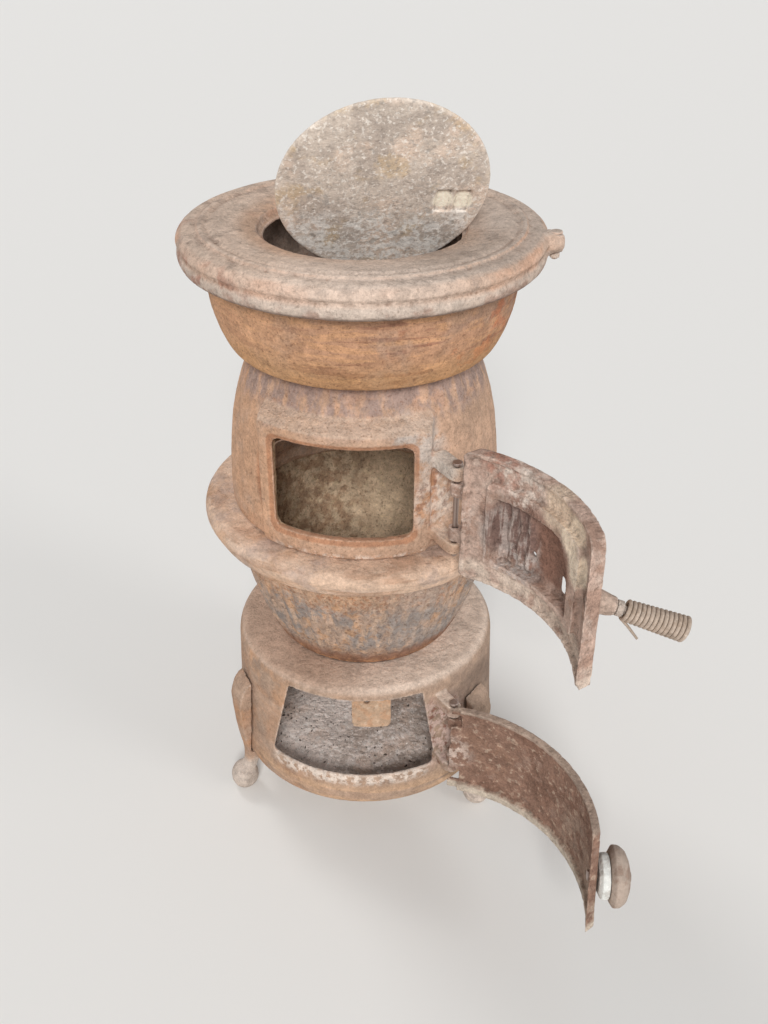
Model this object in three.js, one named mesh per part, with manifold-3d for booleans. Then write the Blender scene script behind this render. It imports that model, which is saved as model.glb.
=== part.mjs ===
// A cast-iron pot-belly stove, 717 mm to the top of its rim, with both doors open.
// Millimetres, +Z up, feet on z = 0, the stove's axis on x = y = 0, front at -Y.
import * as THREE from "three";
import { mergeVertices } from "three/addons/utils/BufferGeometryUtils.js";
import Module from "manifold-3d";

const wasm = await Module();
wasm.setup();

// Driving sizes, in millimetres and degrees.
const GAP = 0.3; // between pieces that touch
const CLEAR = 1.5; // between pieces that move past each other
const WALL = 6; // thickness of the castings
const LEG_H = 58; // floor to the bottom of the base drum
const BASE_H = 169; // base drum, bottom to deck
const POT_H = 146; // fluted fire bowl
const RING_H = 34; // waist ring
const BELLY_H = 184; // belly shell
const BOWL_H = 112; // upper bowl, to the underside of the top plate
const RIM_RISE = 13; // underside of the top plate to its top
const RIM_R = 186; // outside of the rolled rim
const HOLE_R = 104; // lid hole
const LEDGE = 5.5; // width of the ledge that carries the lid
const BOWL_TOP_R = 161;
const BOWL_FOOT_R = 137;
const NECK_R = 117; // top of the belly
const BELLY_R = 149; // widest of the belly
const RING_R = 182; // outside of the waist ring
const POT_TOP_R = 150;
const POT_FOOT_R = 104;
const DECK_R = 152; // shoulder of the base drum
const BASE_R = 162; // foot of the base drum
const FRAME_PROUD = 4.5; // frame of the fire opening over the belly's widest
const SEGMENTS = 44; // facets round a turned casting
const BELLY_FLUTES = 18;
const POT_FLUTES = 22;
const FLUTE = 2; // depth of the flutes

// Heights that follow from them.
const Z_BASE = LEG_H;
const Z_DECK = Z_BASE + BASE_H;
const Z_POT = Z_DECK + GAP;
const Z_RING = Z_POT + POT_H;
const Z_BELLY = Z_RING + RING_H + GAP;
const Z_BOWL = Z_BELLY + BELLY_H;
const Z_TOP = Z_BOWL + BOWL_H;
const Z_RIM = Z_TOP + RIM_RISE;

// The two openings and the doors that hang beside them.
const FIRE = {
  middle: -99.5, // direction of the opening's middle
  halfWidth: 71,
  sill: Z_BELLY + 23,
  height: 104,
  frame: 17, // width of the raised frame round the opening
  pinR: BELLY_R + 31.5,
  pinAt: -60,
  open: 130, // swing from shut to the open pose modelled
};
const ASH = {
  middle: -97.5,
  topHalf: 78,
  footHalf: 96,
  sill: Z_BASE + 44,
  height: 112,
  pinR: BASE_R + 18.5,
  pinAt: -56.6,
  open: 135.3,
};

// Small helpers.
const rad = THREE.MathUtils.degToRad;
const polar = (r, degrees, z = 0) =>
  new THREE.Vector3(r * Math.cos(rad(degrees)), r * Math.sin(rad(degrees)), z);

// A geometry as a closed solid that faces out.
function solid(geometry) {
  const bare = geometry.index ? geometry.toNonIndexed() : geometry.clone();
  bare.deleteAttribute("normal");
  bare.deleteAttribute("uv");
  const merged = mergeVertices(bare, 1e-4);
  const triVerts = new Uint32Array(merged.index.array);
  const vertProperties = merged.attributes.position.array;
  const make = () =>
    new wasm.Manifold(new wasm.Mesh({ numProp: 3, vertProperties, triVerts }));
  const first = make();
  if (first.volume() > 0) return first;
  for (let i = 0; i < triVerts.length; i += 3)
    [triVerts[i + 1], triVerts[i + 2]] = [triVerts[i + 2], triVerts[i + 1]];
  return make();
}

// The mesh of a finished solid, under its plain name.
function mesh(name, body, color) {
  const { vertProperties, triVerts } = body.getMesh();
  const geometry = new THREE.BufferGeometry();
  geometry.setAttribute(
    "position",
    new THREE.BufferAttribute(new Float32Array(vertProperties), 3),
  );
  geometry.setIndex(new THREE.BufferAttribute(new Uint32Array(triVerts), 1));
  geometry.computeVertexNormals();
  const material = new THREE.MeshStandardMaterial({ color, roughness: 0.9, metalness: 0.2 });
  const made = new THREE.Mesh(geometry, material);
  made.name = name;
  return made;
}

const points = (pairs) => pairs.map(([x, y]) => new THREE.Vector2(x, y));

// A closed profile [radius, height] spun about the stove's axis. `skin` gives the depth of the flutes.
function turned(pairs, { segments = SEGMENTS, flutes = 0, skin = () => 0 } = {}) {
  const count = flutes ? flutes * 3 : segments;
  const geometry = new THREE.LatheGeometry(points([...pairs, pairs[0]]), count);
  geometry.rotateX(Math.PI / 2);
  if (flutes) hollow(geometry, flutes, skin);
  return solid(geometry);
}

// Moves each point of the outer skin in, by a wave round the axis.
function hollow(geometry, flutes, skin) {
  const at = geometry.attributes.position;
  for (let i = 0; i < at.count; i += 1) {
    const [x, y, z] = [at.getX(i), at.getY(i), at.getZ(i)];
    const r = Math.hypot(x, y);
    const turn = Math.atan2(y, x) * flutes;
    const inward = skin(r, z) * (0.5 - 0.5 * Math.cos(turn));
    at.setXY(i, (x * (r - inward)) / r, (y * (r - inward)) / r);
  }
}

// A flat outline [across, up] pushed out along a level direction, from `from` to `to` from the axis.
function prism(shape, direction, from, to, curveSegments = 4) {
  const geometry = new THREE.ExtrudeGeometry(shape, {
    depth: to - from,
    bevelEnabled: false,
    curveSegments,
  });
  geometry.translate(0, 0, from);
  geometry.rotateX(Math.PI / 2);
  geometry.rotateZ(rad(direction + 90));
  return solid(geometry);
}

// Corners [across, up, rounding] as a rounded outline.
function outline(corners) {
  const path = new THREE.Shape();
  corners.forEach(([x, y, r], i) => {
    const here = new THREE.Vector2(x, y);
    const before = corners[(i + corners.length - 1) % corners.length];
    const after = corners[(i + 1) % corners.length];
    const to = (c) => new THREE.Vector2(c[0], c[1]).sub(here).setLength(r).add(here);
    const [a, b] = [to(before), to(after)];
    if (i === 0) path.moveTo(a.x, a.y);
    else path.lineTo(a.x, a.y);
    path.quadraticCurveTo(x, y, b.x, b.y);
  });
  path.closePath();
  return path;
}

const rounded = (x0, x1, z0, z1, r) =>
  outline([
    [x0, z0, r],
    [x1, z0, r],
    [x1, z1, r],
    [x0, z1, r],
  ]);

function disc(x, z, r) {
  const shape = new THREE.Shape();
  shape.absarc(x, z, r, 0, 2 * Math.PI);
  return shape;
}

// A rod along any line between two points, or a cone if its far end has another radius.
function rod(r, from, to, sides = 12, tip = r) {
  const along = to.clone().sub(from);
  const geometry = new THREE.CylinderGeometry(tip, r, along.length(), sides);
  geometry.translate(0, along.length() / 2, 0);
  const turn = new THREE.Quaternion().setFromUnitVectors(
    new THREE.Vector3(0, 1, 0),
    along.clone().normalize(),
  );
  geometry.applyQuaternion(turn);
  geometry.translate(from.x, from.y, from.z);
  return solid(geometry);
}

const level = (r, degrees, z0, z1, at, sides) =>
  rod(r, polar(at, degrees, z0), polar(at, degrees, z1), sides);

function block(x0, x1, y0, y1, z0, z1) {
  const geometry = new THREE.BoxGeometry(x1 - x0, y1 - y0, z1 - z0);
  geometry.translate((x0 + x1) / 2, (y0 + y1) / 2, (z0 + z1) / 2);
  return geometry;
}

const joined = (first, ...more) => more.reduce((all, one) => all.add(one), first);
const cut = (first, ...more) => more.reduce((all, one) => all.subtract(one), first);

// The same solid swung about a vertical pin.
function swung(body, pin, degrees) {
  return body
    .translate([-pin.x, -pin.y, 0])
    .rotate([0, 0, degrees])
    .translate([pin.x, pin.y, 0]);
}

// Top plate and lid. EAR is the lug on the rim that takes a clamping bolt.
const EAR = { at: -9, r: RIM_R + 5, radius: 8.5, bolt: 3.5 };

function topPlate() {
  const seat = HOLE_R - LEDGE;
  const inner = RIM_R - 7;
  const plate = turned([
    [seat, Z_TOP - 6],
    [HOLE_R + 6, Z_TOP - 6],
    [HOLE_R + 8, Z_TOP + 1],
    [BOWL_TOP_R - 10, Z_TOP + 5.5],
    [BOWL_TOP_R - 7, Z_TOP],
    [BOWL_TOP_R + 4, Z_TOP],
    [BOWL_TOP_R + 6, Z_TOP + 4],
    [inner - 3, Z_TOP + 3],
    [inner, Z_TOP - 4],
    [inner - 1, Z_TOP - 14],
    [inner - 5, Z_TOP - 24],
    [RIM_R - 6, Z_TOP - 24],
    [RIM_R - 1, Z_TOP - 14],
    [RIM_R, Z_TOP - 4],
    [RIM_R - 2.5, Z_TOP + 4],
    [RIM_R - 9, Z_TOP + 9.5],
    [RIM_R - 16, Z_TOP + 10.5],
    [RIM_R - 21, Z_TOP + 9],
    [RIM_R - 23, Z_RIM],
    [RIM_R - 29, Z_RIM],
    [RIM_R - 30.5, Z_RIM - 2],
    [RIM_R - 34, Z_RIM - 2],
    [RIM_R - 36, Z_RIM - 0.5],
    [HOLE_R + 3, Z_TOP + 7.5],
    [HOLE_R, Z_TOP + 6],
    [HOLE_R, Z_TOP],
    [seat, Z_TOP],
  ]);
  const boss = level(EAR.radius, EAR.at, Z_TOP - 12, Z_TOP + 5, EAR.r, 20);
  const root = prism(rounded(-8, 8, Z_TOP - 12, Z_TOP + 3, 1), EAR.at, RIM_R - 4, EAR.r);
  const hole = level(EAR.bolt + GAP, EAR.at, Z_TOP - 20, Z_TOP + 12, EAR.r);
  return cut(joined(plate, boss, root), hole);
}

const LID = {
  r: HOLE_R - 2.5,
  thick: 6,
  lean: 116.3,
  turn: 7.4,
  at: [19.5, 52.7 - HOLE_R, Z_RIM + 0.34 * HOLE_R + 4.64],
};

// The cover as cast, lying flat with its upper face at z = 0.
function lidFlat() {
  const disc = turned([
    [0, -LID.thick],
    [LID.r - 9, -LID.thick],
    [LID.r - 7, -LID.thick + 1.5],
    [LID.r - 1, -LID.thick + 1.5],
    [LID.r, -LID.thick + 2.5],
    [LID.r, -1.2],
    [LID.r - 1.5, 0],
    [0, 0],
  ], { segments: 48 });
  const pocket = solid(block(-18.5, 18.5, -13, 13, -4, 1));
  const bar = solid(block(-1.8, 1.8, -13.5, 13.5, -4.2, -0.8));
  const turn = (b) => b.rotate([0, 0, -4]).translate([67.5, -16, 0]);
  return cut(disc, turn(cut(pocket, bar)));
}

function lid() {
  return lidFlat().rotate([LID.lean, 0, 0]).rotate([0, 0, LID.turn]).translate(LID.at);
}

// Upper bowl, with its flue collar at the back.
const FLUE = { half: 58, up: 29, z: Z_BOWL + 49, face: BOWL_TOP_R + 9, length: 42 };

// The flue's oval, grown on all sides, between two distances behind the axis.
function flueOval(grow, from, to) {
  const shape = new THREE.Shape();
  shape.absellipse(0, FLUE.z, FLUE.half + grow, FLUE.up + grow, 0, 2 * Math.PI);
  return prism(shape, 90, from, to, 16);
}

function upperBowl() {
  const shell = turned([
    [NECK_R - WALL, Z_BOWL + GAP],
    [BOWL_FOOT_R, Z_BOWL + GAP],
    [BOWL_FOOT_R + 6, Z_BOWL + 9],
    [BOWL_FOOT_R + 13, Z_BOWL + 25],
    [BOWL_TOP_R - 5, Z_BOWL + 45],
    [BOWL_TOP_R - 2, Z_BOWL + 65],
    [BOWL_TOP_R, Z_TOP - GAP],
    [BOWL_TOP_R - WALL, Z_TOP - GAP],
    [BOWL_TOP_R - 2 - WALL, Z_BOWL + 65],
    [BOWL_TOP_R - 5 - WALL, Z_BOWL + 46],
    [BOWL_FOOT_R + 13 - WALL, Z_BOWL + 28],
    [BOWL_FOOT_R - 3, Z_BOWL + WALL + 1],
    [NECK_R - WALL, Z_BOWL + WALL],
  ]);
  const pad = flueOval(9, BOWL_TOP_R - 50, FLUE.face);
  const core = turned([
    [0, Z_BOWL],
    [BOWL_FOOT_R - 3, Z_BOWL + WALL],
    [BOWL_TOP_R - 5 - WALL, Z_BOWL + 46],
    [BOWL_TOP_R - WALL, Z_TOP],
    [0, Z_TOP],
  ]);
  const way = flueOval(0, BOWL_TOP_R - 70, FLUE.face + 1);
  const holes = [-1, 1].map((side) => flueBolt(side, FLUE.face - 26, FLUE.face + 1, 2.5 + GAP));
  return cut(joined(shell, cut(pad, core)), way, ...holes);
}

function flueBolt(side, y0, y1, r) {
  const x = side * (FLUE.half + 16);
  return rod(r, new THREE.Vector3(x, y0, FLUE.z), new THREE.Vector3(x, y1, FLUE.z), 12);
}

function flueCollar() {
  const y = FLUE.face + GAP;
  const flange = flueOval(9, y, y + 5);
  const ears = [-1, 1].map((side) => {
    const shape = disc(side * (FLUE.half + 16), FLUE.z, 9);
    return prism(shape, 90, y, y + 5, 8);
  });
  const tube = flueOval(3, y, y + FLUE.length);
  const bead = flueOval(5, y + 20, y + 24);
  const bore = flueOval(-2, y - 1, y + FLUE.length + 1);
  const holes = [-1, 1].map((side) => flueBolt(side, y - 1, y + 7, 2.5 + GAP));
  return cut(joined(flange, ...ears, tube, bead), bore, ...holes);
}

function flueScrew(side) {
  const y = FLUE.face + 2 * GAP + 5;
  return joined(flueBolt(side, FLUE.face - 24, y + 1, 2.5), flueBolt(side, y, y + 4, 5));
}

// Belly with the fire opening.
const hingePin = (door) => polar(door.pinR, door.pinAt);

// Outside of the belly at a height over its foot.
const bellySkin = [
  [BELLY_R, 0],
  [BELLY_R + 0.5, 28],
  [BELLY_R - 1, 62],
  [BELLY_R - 5, 96],
  [BELLY_R - 11, 124],
  [BELLY_R - 19, 150],
  [NECK_R + 5, 170],
  [NECK_R, BELLY_H],
];

// The casting's own eyes for a door's pin, on stand-off roots.
function hingeLugs(door, reach, heights) {
  return heights.map(([low, high]) => {
    const eye = level(8, door.pinAt, low, high, door.pinR, 18);
    const root = prism(rounded(-9, 9, low, high, 1), door.pinAt, reach, door.pinR);
    return joined(eye, root);
  });
}

const FIRE_LUGS = [
  [FIRE.sill - 10, FIRE.sill + 4],
  [FIRE.sill + FIRE.height - 28, FIRE.sill + FIRE.height - 12],
];

function bellyShell() {
  const inner = [0, 2, 4, 6, 7].map((i) => bellySkin[i]).map(([r, h]) => [r - WALL, h]).reverse();
  const rise = ([r, h]) => [r, Z_BELLY + h];
  const fluted = (r, z) => {
    const h = z - Z_BELLY;
    if (h < 20 || h > BELLY_H - 14) return 0;
    return r > lerp(bellySkin, h) - WALL / 2 ? FLUTE : 0;
  };
  const shell = turned([...bellySkin, ...inner].map(rise), { flutes: BELLY_FLUTES, skin: fluted });
  const { sill, height, halfWidth, frame, middle } = FIRE;
  const face = BELLY_R + FRAME_PROUD;
  const top = sill + height + frame;
  const plateau = turned([
    [BELLY_R - WALL, Z_BELLY],
    [face, Z_BELLY],
    [face, top - 3],
    [face - 4, top],
    [BELLY_R - 20, top + 7],
    [BELLY_R - 20, top - 2],
    [BELLY_R - 13, sill + height],
  ]);
  const field = prism(
    rounded(-halfWidth - frame, halfWidth + frame, Z_BELLY, top + 8, 9),
    middle,
    60,
    face + 5,
  );
  const way = prism(rounded(-halfWidth, halfWidth, sill, sill + height, 7), middle, 60, face + 5);
  const lugs = hingeLugs(FIRE, BELLY_R - WALL / 2, FIRE_LUGS);
  const bore = level(3 + GAP, FIRE.pinAt, sill - 20, sill + height, FIRE.pinR);
  return cut(joined(shell, plateau.intersect(field), ...lugs), way, bore);
}

// Radius of a skin [radius, height] at a height.
function lerp(skin, h) {
  const i = Math.max(1, skin.findIndex(([, up]) => up >= h));
  const [[r0, h0], [r1, h1]] = [skin[i - 1], skin[i]];
  return r0 + ((r1 - r0) * (h - h0)) / (h1 - h0);
}

// Waist ring, fire bowl and grate.
function waistRing() {
  const top = Z_RING + RING_H;
  const web = POT_TOP_R - 10;
  return turned([
    [web, Z_RING + GAP],
    [web + 7, Z_RING + GAP],
    [web + 8, top - WALL],
    [RING_R - 10, top - WALL - 2],
    [RING_R - WALL, top - 13],
    [RING_R - 9, top - 20],
    [RING_R - 16, Z_RING + 2],
    [RING_R - 11, Z_RING],
    [RING_R - 4, top - 21],
    [RING_R, top - 14],
    [RING_R - 1, top - 7],
    [RING_R - 5, top - 2],
    [RING_R - 12, top],
    [web, top],
  ]);
}

const potSkin = [
  [POT_FOOT_R, 0],
  [POT_FOOT_R + 10, 14],
  [POT_FOOT_R + 23, 44],
  [POT_FOOT_R + 34, 82],
  [POT_TOP_R - 4, 118],
  [POT_TOP_R, POT_H - 8],
  [POT_TOP_R, POT_H],
];

const SPIGOT = POT_FOOT_R - 7;

function fireBowl() {
  const inner = [1, 3, 4, 6].map((i) => potSkin[i]).map(([r, h]) => [r - WALL - 1, h]).reverse();
  const foot = [
    [SPIGOT, WALL + 2],
    [SPIGOT - 9, WALL + 2],
    [SPIGOT - 9, -5],
    [SPIGOT, -5],
    [SPIGOT, 0],
  ];
  const profile = [...potSkin, ...inner, ...foot].map(([r, h]) => [r, Z_POT + h]);
  const fluted = (r, z) => {
    const h = z - Z_POT;
    if (h < 5 || h > POT_H - 10) return 0;
    return r > lerp(potSkin, h) - WALL / 2 ? FLUTE : 0;
  };
  return turned(profile, { flutes: POT_FLUTES, skin: fluted });
}

const GRATE = { r: SPIGOT - 3, z: Z_POT + WALL + 2 + GAP, arm: BASE_R - 20, tab: 37, drop: 44 };

function grate() {
  const { r, z, arm, tab, drop } = GRATE;
  const plate = turned([
    [0, z],
    [r, z],
    [r, z + 7],
    [0, z + 7],
  ], { segments: 36 });
  const slots = [-3, -2, -1, 1, 2, 3].map((n) => {
    const half = Math.sqrt((r - 12) ** 2 - (Math.abs(n) * 21 + 5) ** 2);
    return solid(block(n * 21 - 5, n * 21 + 5, -half, half, z - 1, z + 8));
  });
  const low = Z_DECK - WALL - 14;
  const hub = rod(9, new THREE.Vector3(0, 0, low), new THREE.Vector3(0, 0, z + 3), 16);
  const bar = solid(block(-8, 8, -arm, 0, low, low + 7));
  const shape = outline([
    [-9, low + 7, 2],
    [-9, low - drop + 7, 3],
    [tab - 9, low - drop + 7, 10],
    [tab - 9, low + 7, 2],
  ]);
  const flag = prism(shape, -90, arm - 6, arm);
  const eye = prism(disc(1, low - 5, 3.5), -90, arm - 8, arm + 2);
  return cut(joined(cut(plate, ...slots), hub, bar, flag), eye);
}

// Base drum, ash floor and legs.
const baseSkin = [
  [BASE_R - 2, 0],
  [BASE_R, 4],
  [BASE_R, 14],
  [BASE_R - 3, 59],
  [BASE_R - 5.5, 119],
  [DECK_R + 3, BASE_H - 13],
  [DECK_R, BASE_H - 5],
  [DECK_R - 6, BASE_H],
];

const ASH_LUGS = [
  [ASH.sill + 2, ASH.sill + 16],
  [ASH.sill + ASH.height - 24, ASH.sill + ASH.height - 8],
];

function baseDrum() {
  const inner = baseSkin.slice(1, -1).map(([r, h]) => [r - WALL, h]).reverse();
  const profile = [
    ...baseSkin,
    [SPIGOT + CLEAR / 2, BASE_H],
    [SPIGOT + CLEAR / 2, BASE_H - WALL],
    [DECK_R - WALL - 4, BASE_H - WALL],
    ...inner.slice(1, -1),
    [BASE_R - WALL - 3, 8],
    [BASE_R - WALL - 12, 8],
    [BASE_R - WALL - 12, 0],
  ];
  const shell = turned(profile.map(([r, h]) => [r, Z_BASE + h]));
  const { sill, height, topHalf, footHalf, middle } = ASH;
  const shape = outline([
    [-footHalf, sill, 4],
    [footHalf + 2, sill, 4],
    [topHalf + 3, sill + height, 4],
    [7 - topHalf, sill + height, 4],
  ]);
  const way = prism(shape, middle, 60, BASE_R + 20);
  const lugs = hingeLugs(ASH, lerp(baseSkin, ASH_LUGS[1][1] - Z_BASE) - WALL / 2, ASH_LUGS);
  const bore = level(3 + GAP, ASH.pinAt, sill - 10, sill + height + 10, ASH.pinR);
  const bolts = LEGS.map((at) => legBoltShank(at, 3.5 + GAP, 40, 10));
  return cut(joined(cut(shell, way), ...lugs), bore, ...bolts);
}

function ashFloor() {
  const r = BASE_R - WALL - 4;
  const z = Z_BASE + 8 + GAP;
  return turned([
    [0, z],
    [r, z],
    [r, z + 4],
    [r - 3, z + 4],
    [r - 5, z + 2.5],
    [0, z + 2.5],
  ]);
}

const LEGS = [-156, -36, 84];
const LEG_BOLT_Z = Z_BASE + 62;

function legBoltShank(at, r, inward, outward) {
  const skin = BASE_R - 3;
  return rod(r, polar(skin - inward, at, LEG_BOLT_Z), polar(skin + outward, at, LEG_BOLT_Z), 12);
}

// Outline of a leg [from the axis, height], seen from the side.
function legOutline() {
  const foot = BASE_R + 9;
  const shape = new THREE.Shape();
  shape.moveTo(BASE_R - 4.6, Z_BASE + 119);
  shape.quadraticCurveTo(BASE_R + 9, Z_BASE + 114, BASE_R + 13, Z_BASE + 86);
  shape.quadraticCurveTo(BASE_R + 13, Z_BASE + 50, BASE_R + 6, Z_BASE + 14);
  shape.quadraticCurveTo(BASE_R + 1, Z_BASE - 20, foot + 3, 22);
  shape.lineTo(foot - 8, 14);
  shape.quadraticCurveTo(BASE_R - 6, Z_BASE - 26, BASE_R - 14, Z_BASE - GAP);
  shape.lineTo(BASE_R + GAP, Z_BASE - GAP);
  shape.lineTo(BASE_R + GAP, Z_BASE + 15);
  shape.lineTo(BASE_R - 2.4, Z_BASE + 60);
  shape.closePath();
  return shape;
}

function leg(at) {
  const width = 36;
  const geometry = new THREE.ExtrudeGeometry(legOutline(), {
    depth: width,
    bevelEnabled: false,
    curveSegments: 4,
    steps: 2,
  });
  geometry.translate(0, 0, -width / 2);
  geometry.rotateX(Math.PI / 2);
  narrow(geometry);
  const ball = new THREE.SphereGeometry(18, 14, 10);
  ball.rotateX(Math.PI / 2);
  ball.scale(1, 1, 1.15);
  ball.translate(BASE_R + 9, 0, 16);
  const flat = solid(block(BASE_R - 20, BASE_R + 40, -25, 25, -10, 0));
  const cast = cut(joined(solid(geometry), solid(ball)), flat).rotate([0, 0, at]);
  return cut(cast, legBoltShank(at, 3.5 + GAP, 6, 9));
}

// Narrows a leg towards its ankle and rounds its outer face.
function narrow(geometry) {
  const at = geometry.attributes.position;
  for (let i = 0; i < at.count; i += 1) {
    const share = THREE.MathUtils.smoothstep(at.getZ(i), 20, Z_BASE + 90);
    const middle = Math.abs(at.getY(i)) < 1;
    const outer = at.getX(i) > BASE_R + 3;
    at.setY(i, at.getY(i) * (0.5 + 0.5 * share));
    if (middle && outer) at.setX(i, at.getX(i) + 3);
  }
}

function legBolt(at) {
  const skin = BASE_R - 3 - WALL;
  const head = rod(
    7,
    polar(skin - 6, at, LEG_BOLT_Z),
    polar(skin - 1.2, at, LEG_BOLT_Z),
    6,
  );
  return joined(legBoltShank(at, 3.5, WALL + 3, 8), head);
}

// Fire door. It is drawn shut and swung open about its pin.
const DOOR_IN = BELLY_R + FRAME_PROUD + CLEAR; // inner rim of the shut fire door
const DOOR_FACE = DOOR_IN + 14.5; // its outer face

function fireDoorOutline(grow) {
  const { sill, height } = FIRE;
  const foot = Z_BELLY + CLEAR + 1.5;
  const top = sill + height + 20;
  return outline([
    [90 + grow, foot - grow, 7],
    [90 + grow, top + grow, 7],
    [-97 - grow, top + grow, 16],
    [-105 - grow, foot - grow, 14],
  ]);
}

function band(r0, r1, z0, z1) {
  return turned([
    [r0, z0],
    [r1, z0],
    [r1, z1],
    [r0, z1],
  ], { segments: 56 });
}

function fireDoor() {
  const { middle, sill, height, halfWidth } = FIRE;
  const low = Z_BELLY;
  const high = sill + height + 30;
  const whole = prism(fireDoorOutline(0), middle, 60, 230);
  const plate = band(DOOR_FACE - 5, DOOR_FACE, low, high).intersect(whole);
  const inside = prism(fireDoorOutline(-5), middle, 60, 230);
  const seat = rod(9, latchPoint(-16), latchPoint(-5), 20);
  const rim = cut(band(DOOR_IN, DOOR_FACE - 4, low, high).intersect(whole), inside, seat);
  const inner = 3 * CLEAR;
  const ribOut = rounded(-halfWidth + inner, halfWidth - inner, sill + inner, sill + height - inner, 9);
  const ribIn = outline([
    [halfWidth - 12, sill + 11, 7],
    [halfWidth - 12, sill + height - 20, 7],
    [-halfWidth + 44, sill + height - 20, 8],
    [-halfWidth + 26, sill + height - 44, 10],
    [-halfWidth + 22, sill + 11, 8],
  ]);
  const rib = cut(
    band(DOOR_IN - 3, DOOR_FACE - 4, low, high).intersect(prism(ribOut, middle, 60, 230)),
    prism(ribIn, middle, 60, 230),
  );
  const trough = cut(
    band(DOOR_IN + 4, DOOR_FACE - 3, low, high).intersect(prism(fireDoorOutline(-4), middle, 60, 230)),
    prism(ribIn, middle, 60, 230),
    seat,
  );
  const arms = doorKnuckles(FIRE, 88, [
    [sill + 6, sill + 22],
    [sill + height - 46, sill + height - 30],
  ]);
  const bore = level(3 + GAP, FIRE.pinAt, sill - 20, sill + height, FIRE.pinR);
  const spindle = rod(4 + GAP, latchPoint(-30), latchPoint(30));
  const bossBody = rod(12.5, latchPoint(-3), latchPoint(17), 20, 9);
  const slot = prism(rounded(-27, -19, sill + 16, sill + 34, 3), middle, 130, 200);
  const hole = prism(disc(21, sill + 35, 3), middle, 130, 200);
  const cast = cut(joined(plate, rim, rib, trough, bossBody, ...arms), bore, spindle, slot, hole, seat);
  return swung(cast, hingePin(FIRE), FIRE.open);
}

// The two eyes of a door and the arms that carry them, on the shut door.
function doorKnuckles(door, edge, heights) {
  const pin = hingePin(door);
  const face = door === FIRE ? DOOR_FACE : BASE_R + 8;
  const turn = THREE.MathUtils.radToDeg(Math.asin((edge - 8) / face));
  const start = polar(face - 3, door.middle + turn);
  return heights.map(([low, high]) => {
    const eye = level(7, door.pinAt, low, high, door.pinR, 18);
    return joined(eye, bridge(start, pin, 4.5, low, high));
  });
}

// A flat bar on edge between two points seen from above.
function bridge(from, to, half, low, high) {
  const along = new THREE.Vector3(to.x - from.x, to.y - from.y, 0);
  const geometry = block(0, along.length(), -half, half, low, high);
  geometry.rotateZ(Math.atan2(along.y, along.x));
  geometry.translate(from.x, from.y, 0);
  return solid(geometry);
}

// The latch's spindle and the wire grip on it.
const LATCH = { at: -129.5, z: FIRE.sill + 55, tilt: -8, droop: 17 };
const GRIP = { start: 25.5, length: 57, turns: 14, r: 8.2, flare: 2.2, wire: 1.75, tail: 17 };

// A point on the spindle, out from the shut door's face.
function latchPoint(out) {
  const start = polar(DOOR_FACE, LATCH.at, LATCH.z);
  const way = polar(Math.cos(rad(LATCH.droop)), LATCH.at + LATCH.tilt, -Math.sin(rad(LATCH.droop)));
  return start.add(way.multiplyScalar(out));
}

const openFire = (body) => swung(body, hingePin(FIRE), FIRE.open);

function latchSpindle() {
  const end = GRIP.start + GRIP.length;
  const stem = rod(4, latchPoint(-10), latchPoint(end));
  const collar = rod(7.5, latchPoint(17 + GAP), latchPoint(GRIP.start - GRIP.wire - GAP));
  const cap = rod(7.8, latchPoint(end - 3), latchPoint(end + 1), 24);
  return openFire(joined(stem, collar, cap));
}

function latchWasher() {
  const ring = rod(8, latchPoint(-8), latchPoint(-5 - GAP));
  const bore = rod(4 + GAP, latchPoint(-12), latchPoint(0));
  return openFire(cut(ring, bore));
}

// The wire grip: a close coil whose first end hangs as a tail.
class Coil extends THREE.Curve {
  constructor(turns, pitch, radius, flare, tail) {
    super();
    Object.assign(this, { turns, pitch, radius, flare, tail });
  }
  getPoint(t, target = new THREE.Vector3()) {
    const straight = 0.06;
    const share = Math.max(0, (t - straight) / (1 - straight));
    const turn = share * this.turns * 2 * Math.PI - Math.PI / 2;
    const radius = this.radius + share * this.flare;
    target.set(radius * Math.cos(turn), radius * Math.sin(turn), share * this.pitch * this.turns);
    if (t < straight) {
      const left = 1 - t / straight;
      target.x -= left * this.tail;
      target.y -= left * this.tail * 0.35;
    }
    return target;
  }
}

function coilGrip() {
  const wire = new THREE.Shape();
  wire.absarc(0, 0, GRIP.wire, 0, 2 * Math.PI);
  const geometry = new THREE.ExtrudeGeometry(wire, {
    extrudePath: new Coil(GRIP.turns, GRIP.length / GRIP.turns, GRIP.r, GRIP.flare, GRIP.tail),
    steps: 118,
    bevelEnabled: false,
    curveSegments: 3,
  });
  const axis = latchPoint(1).sub(latchPoint(0));
  const turn = new THREE.Quaternion().setFromUnitVectors(new THREE.Vector3(0, 0, 1), axis);
  geometry.applyQuaternion(turn);
  const start = latchPoint(GRIP.start);
  geometry.translate(start.x, start.y, start.z);
  return openFire(solid(geometry));
}

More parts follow.
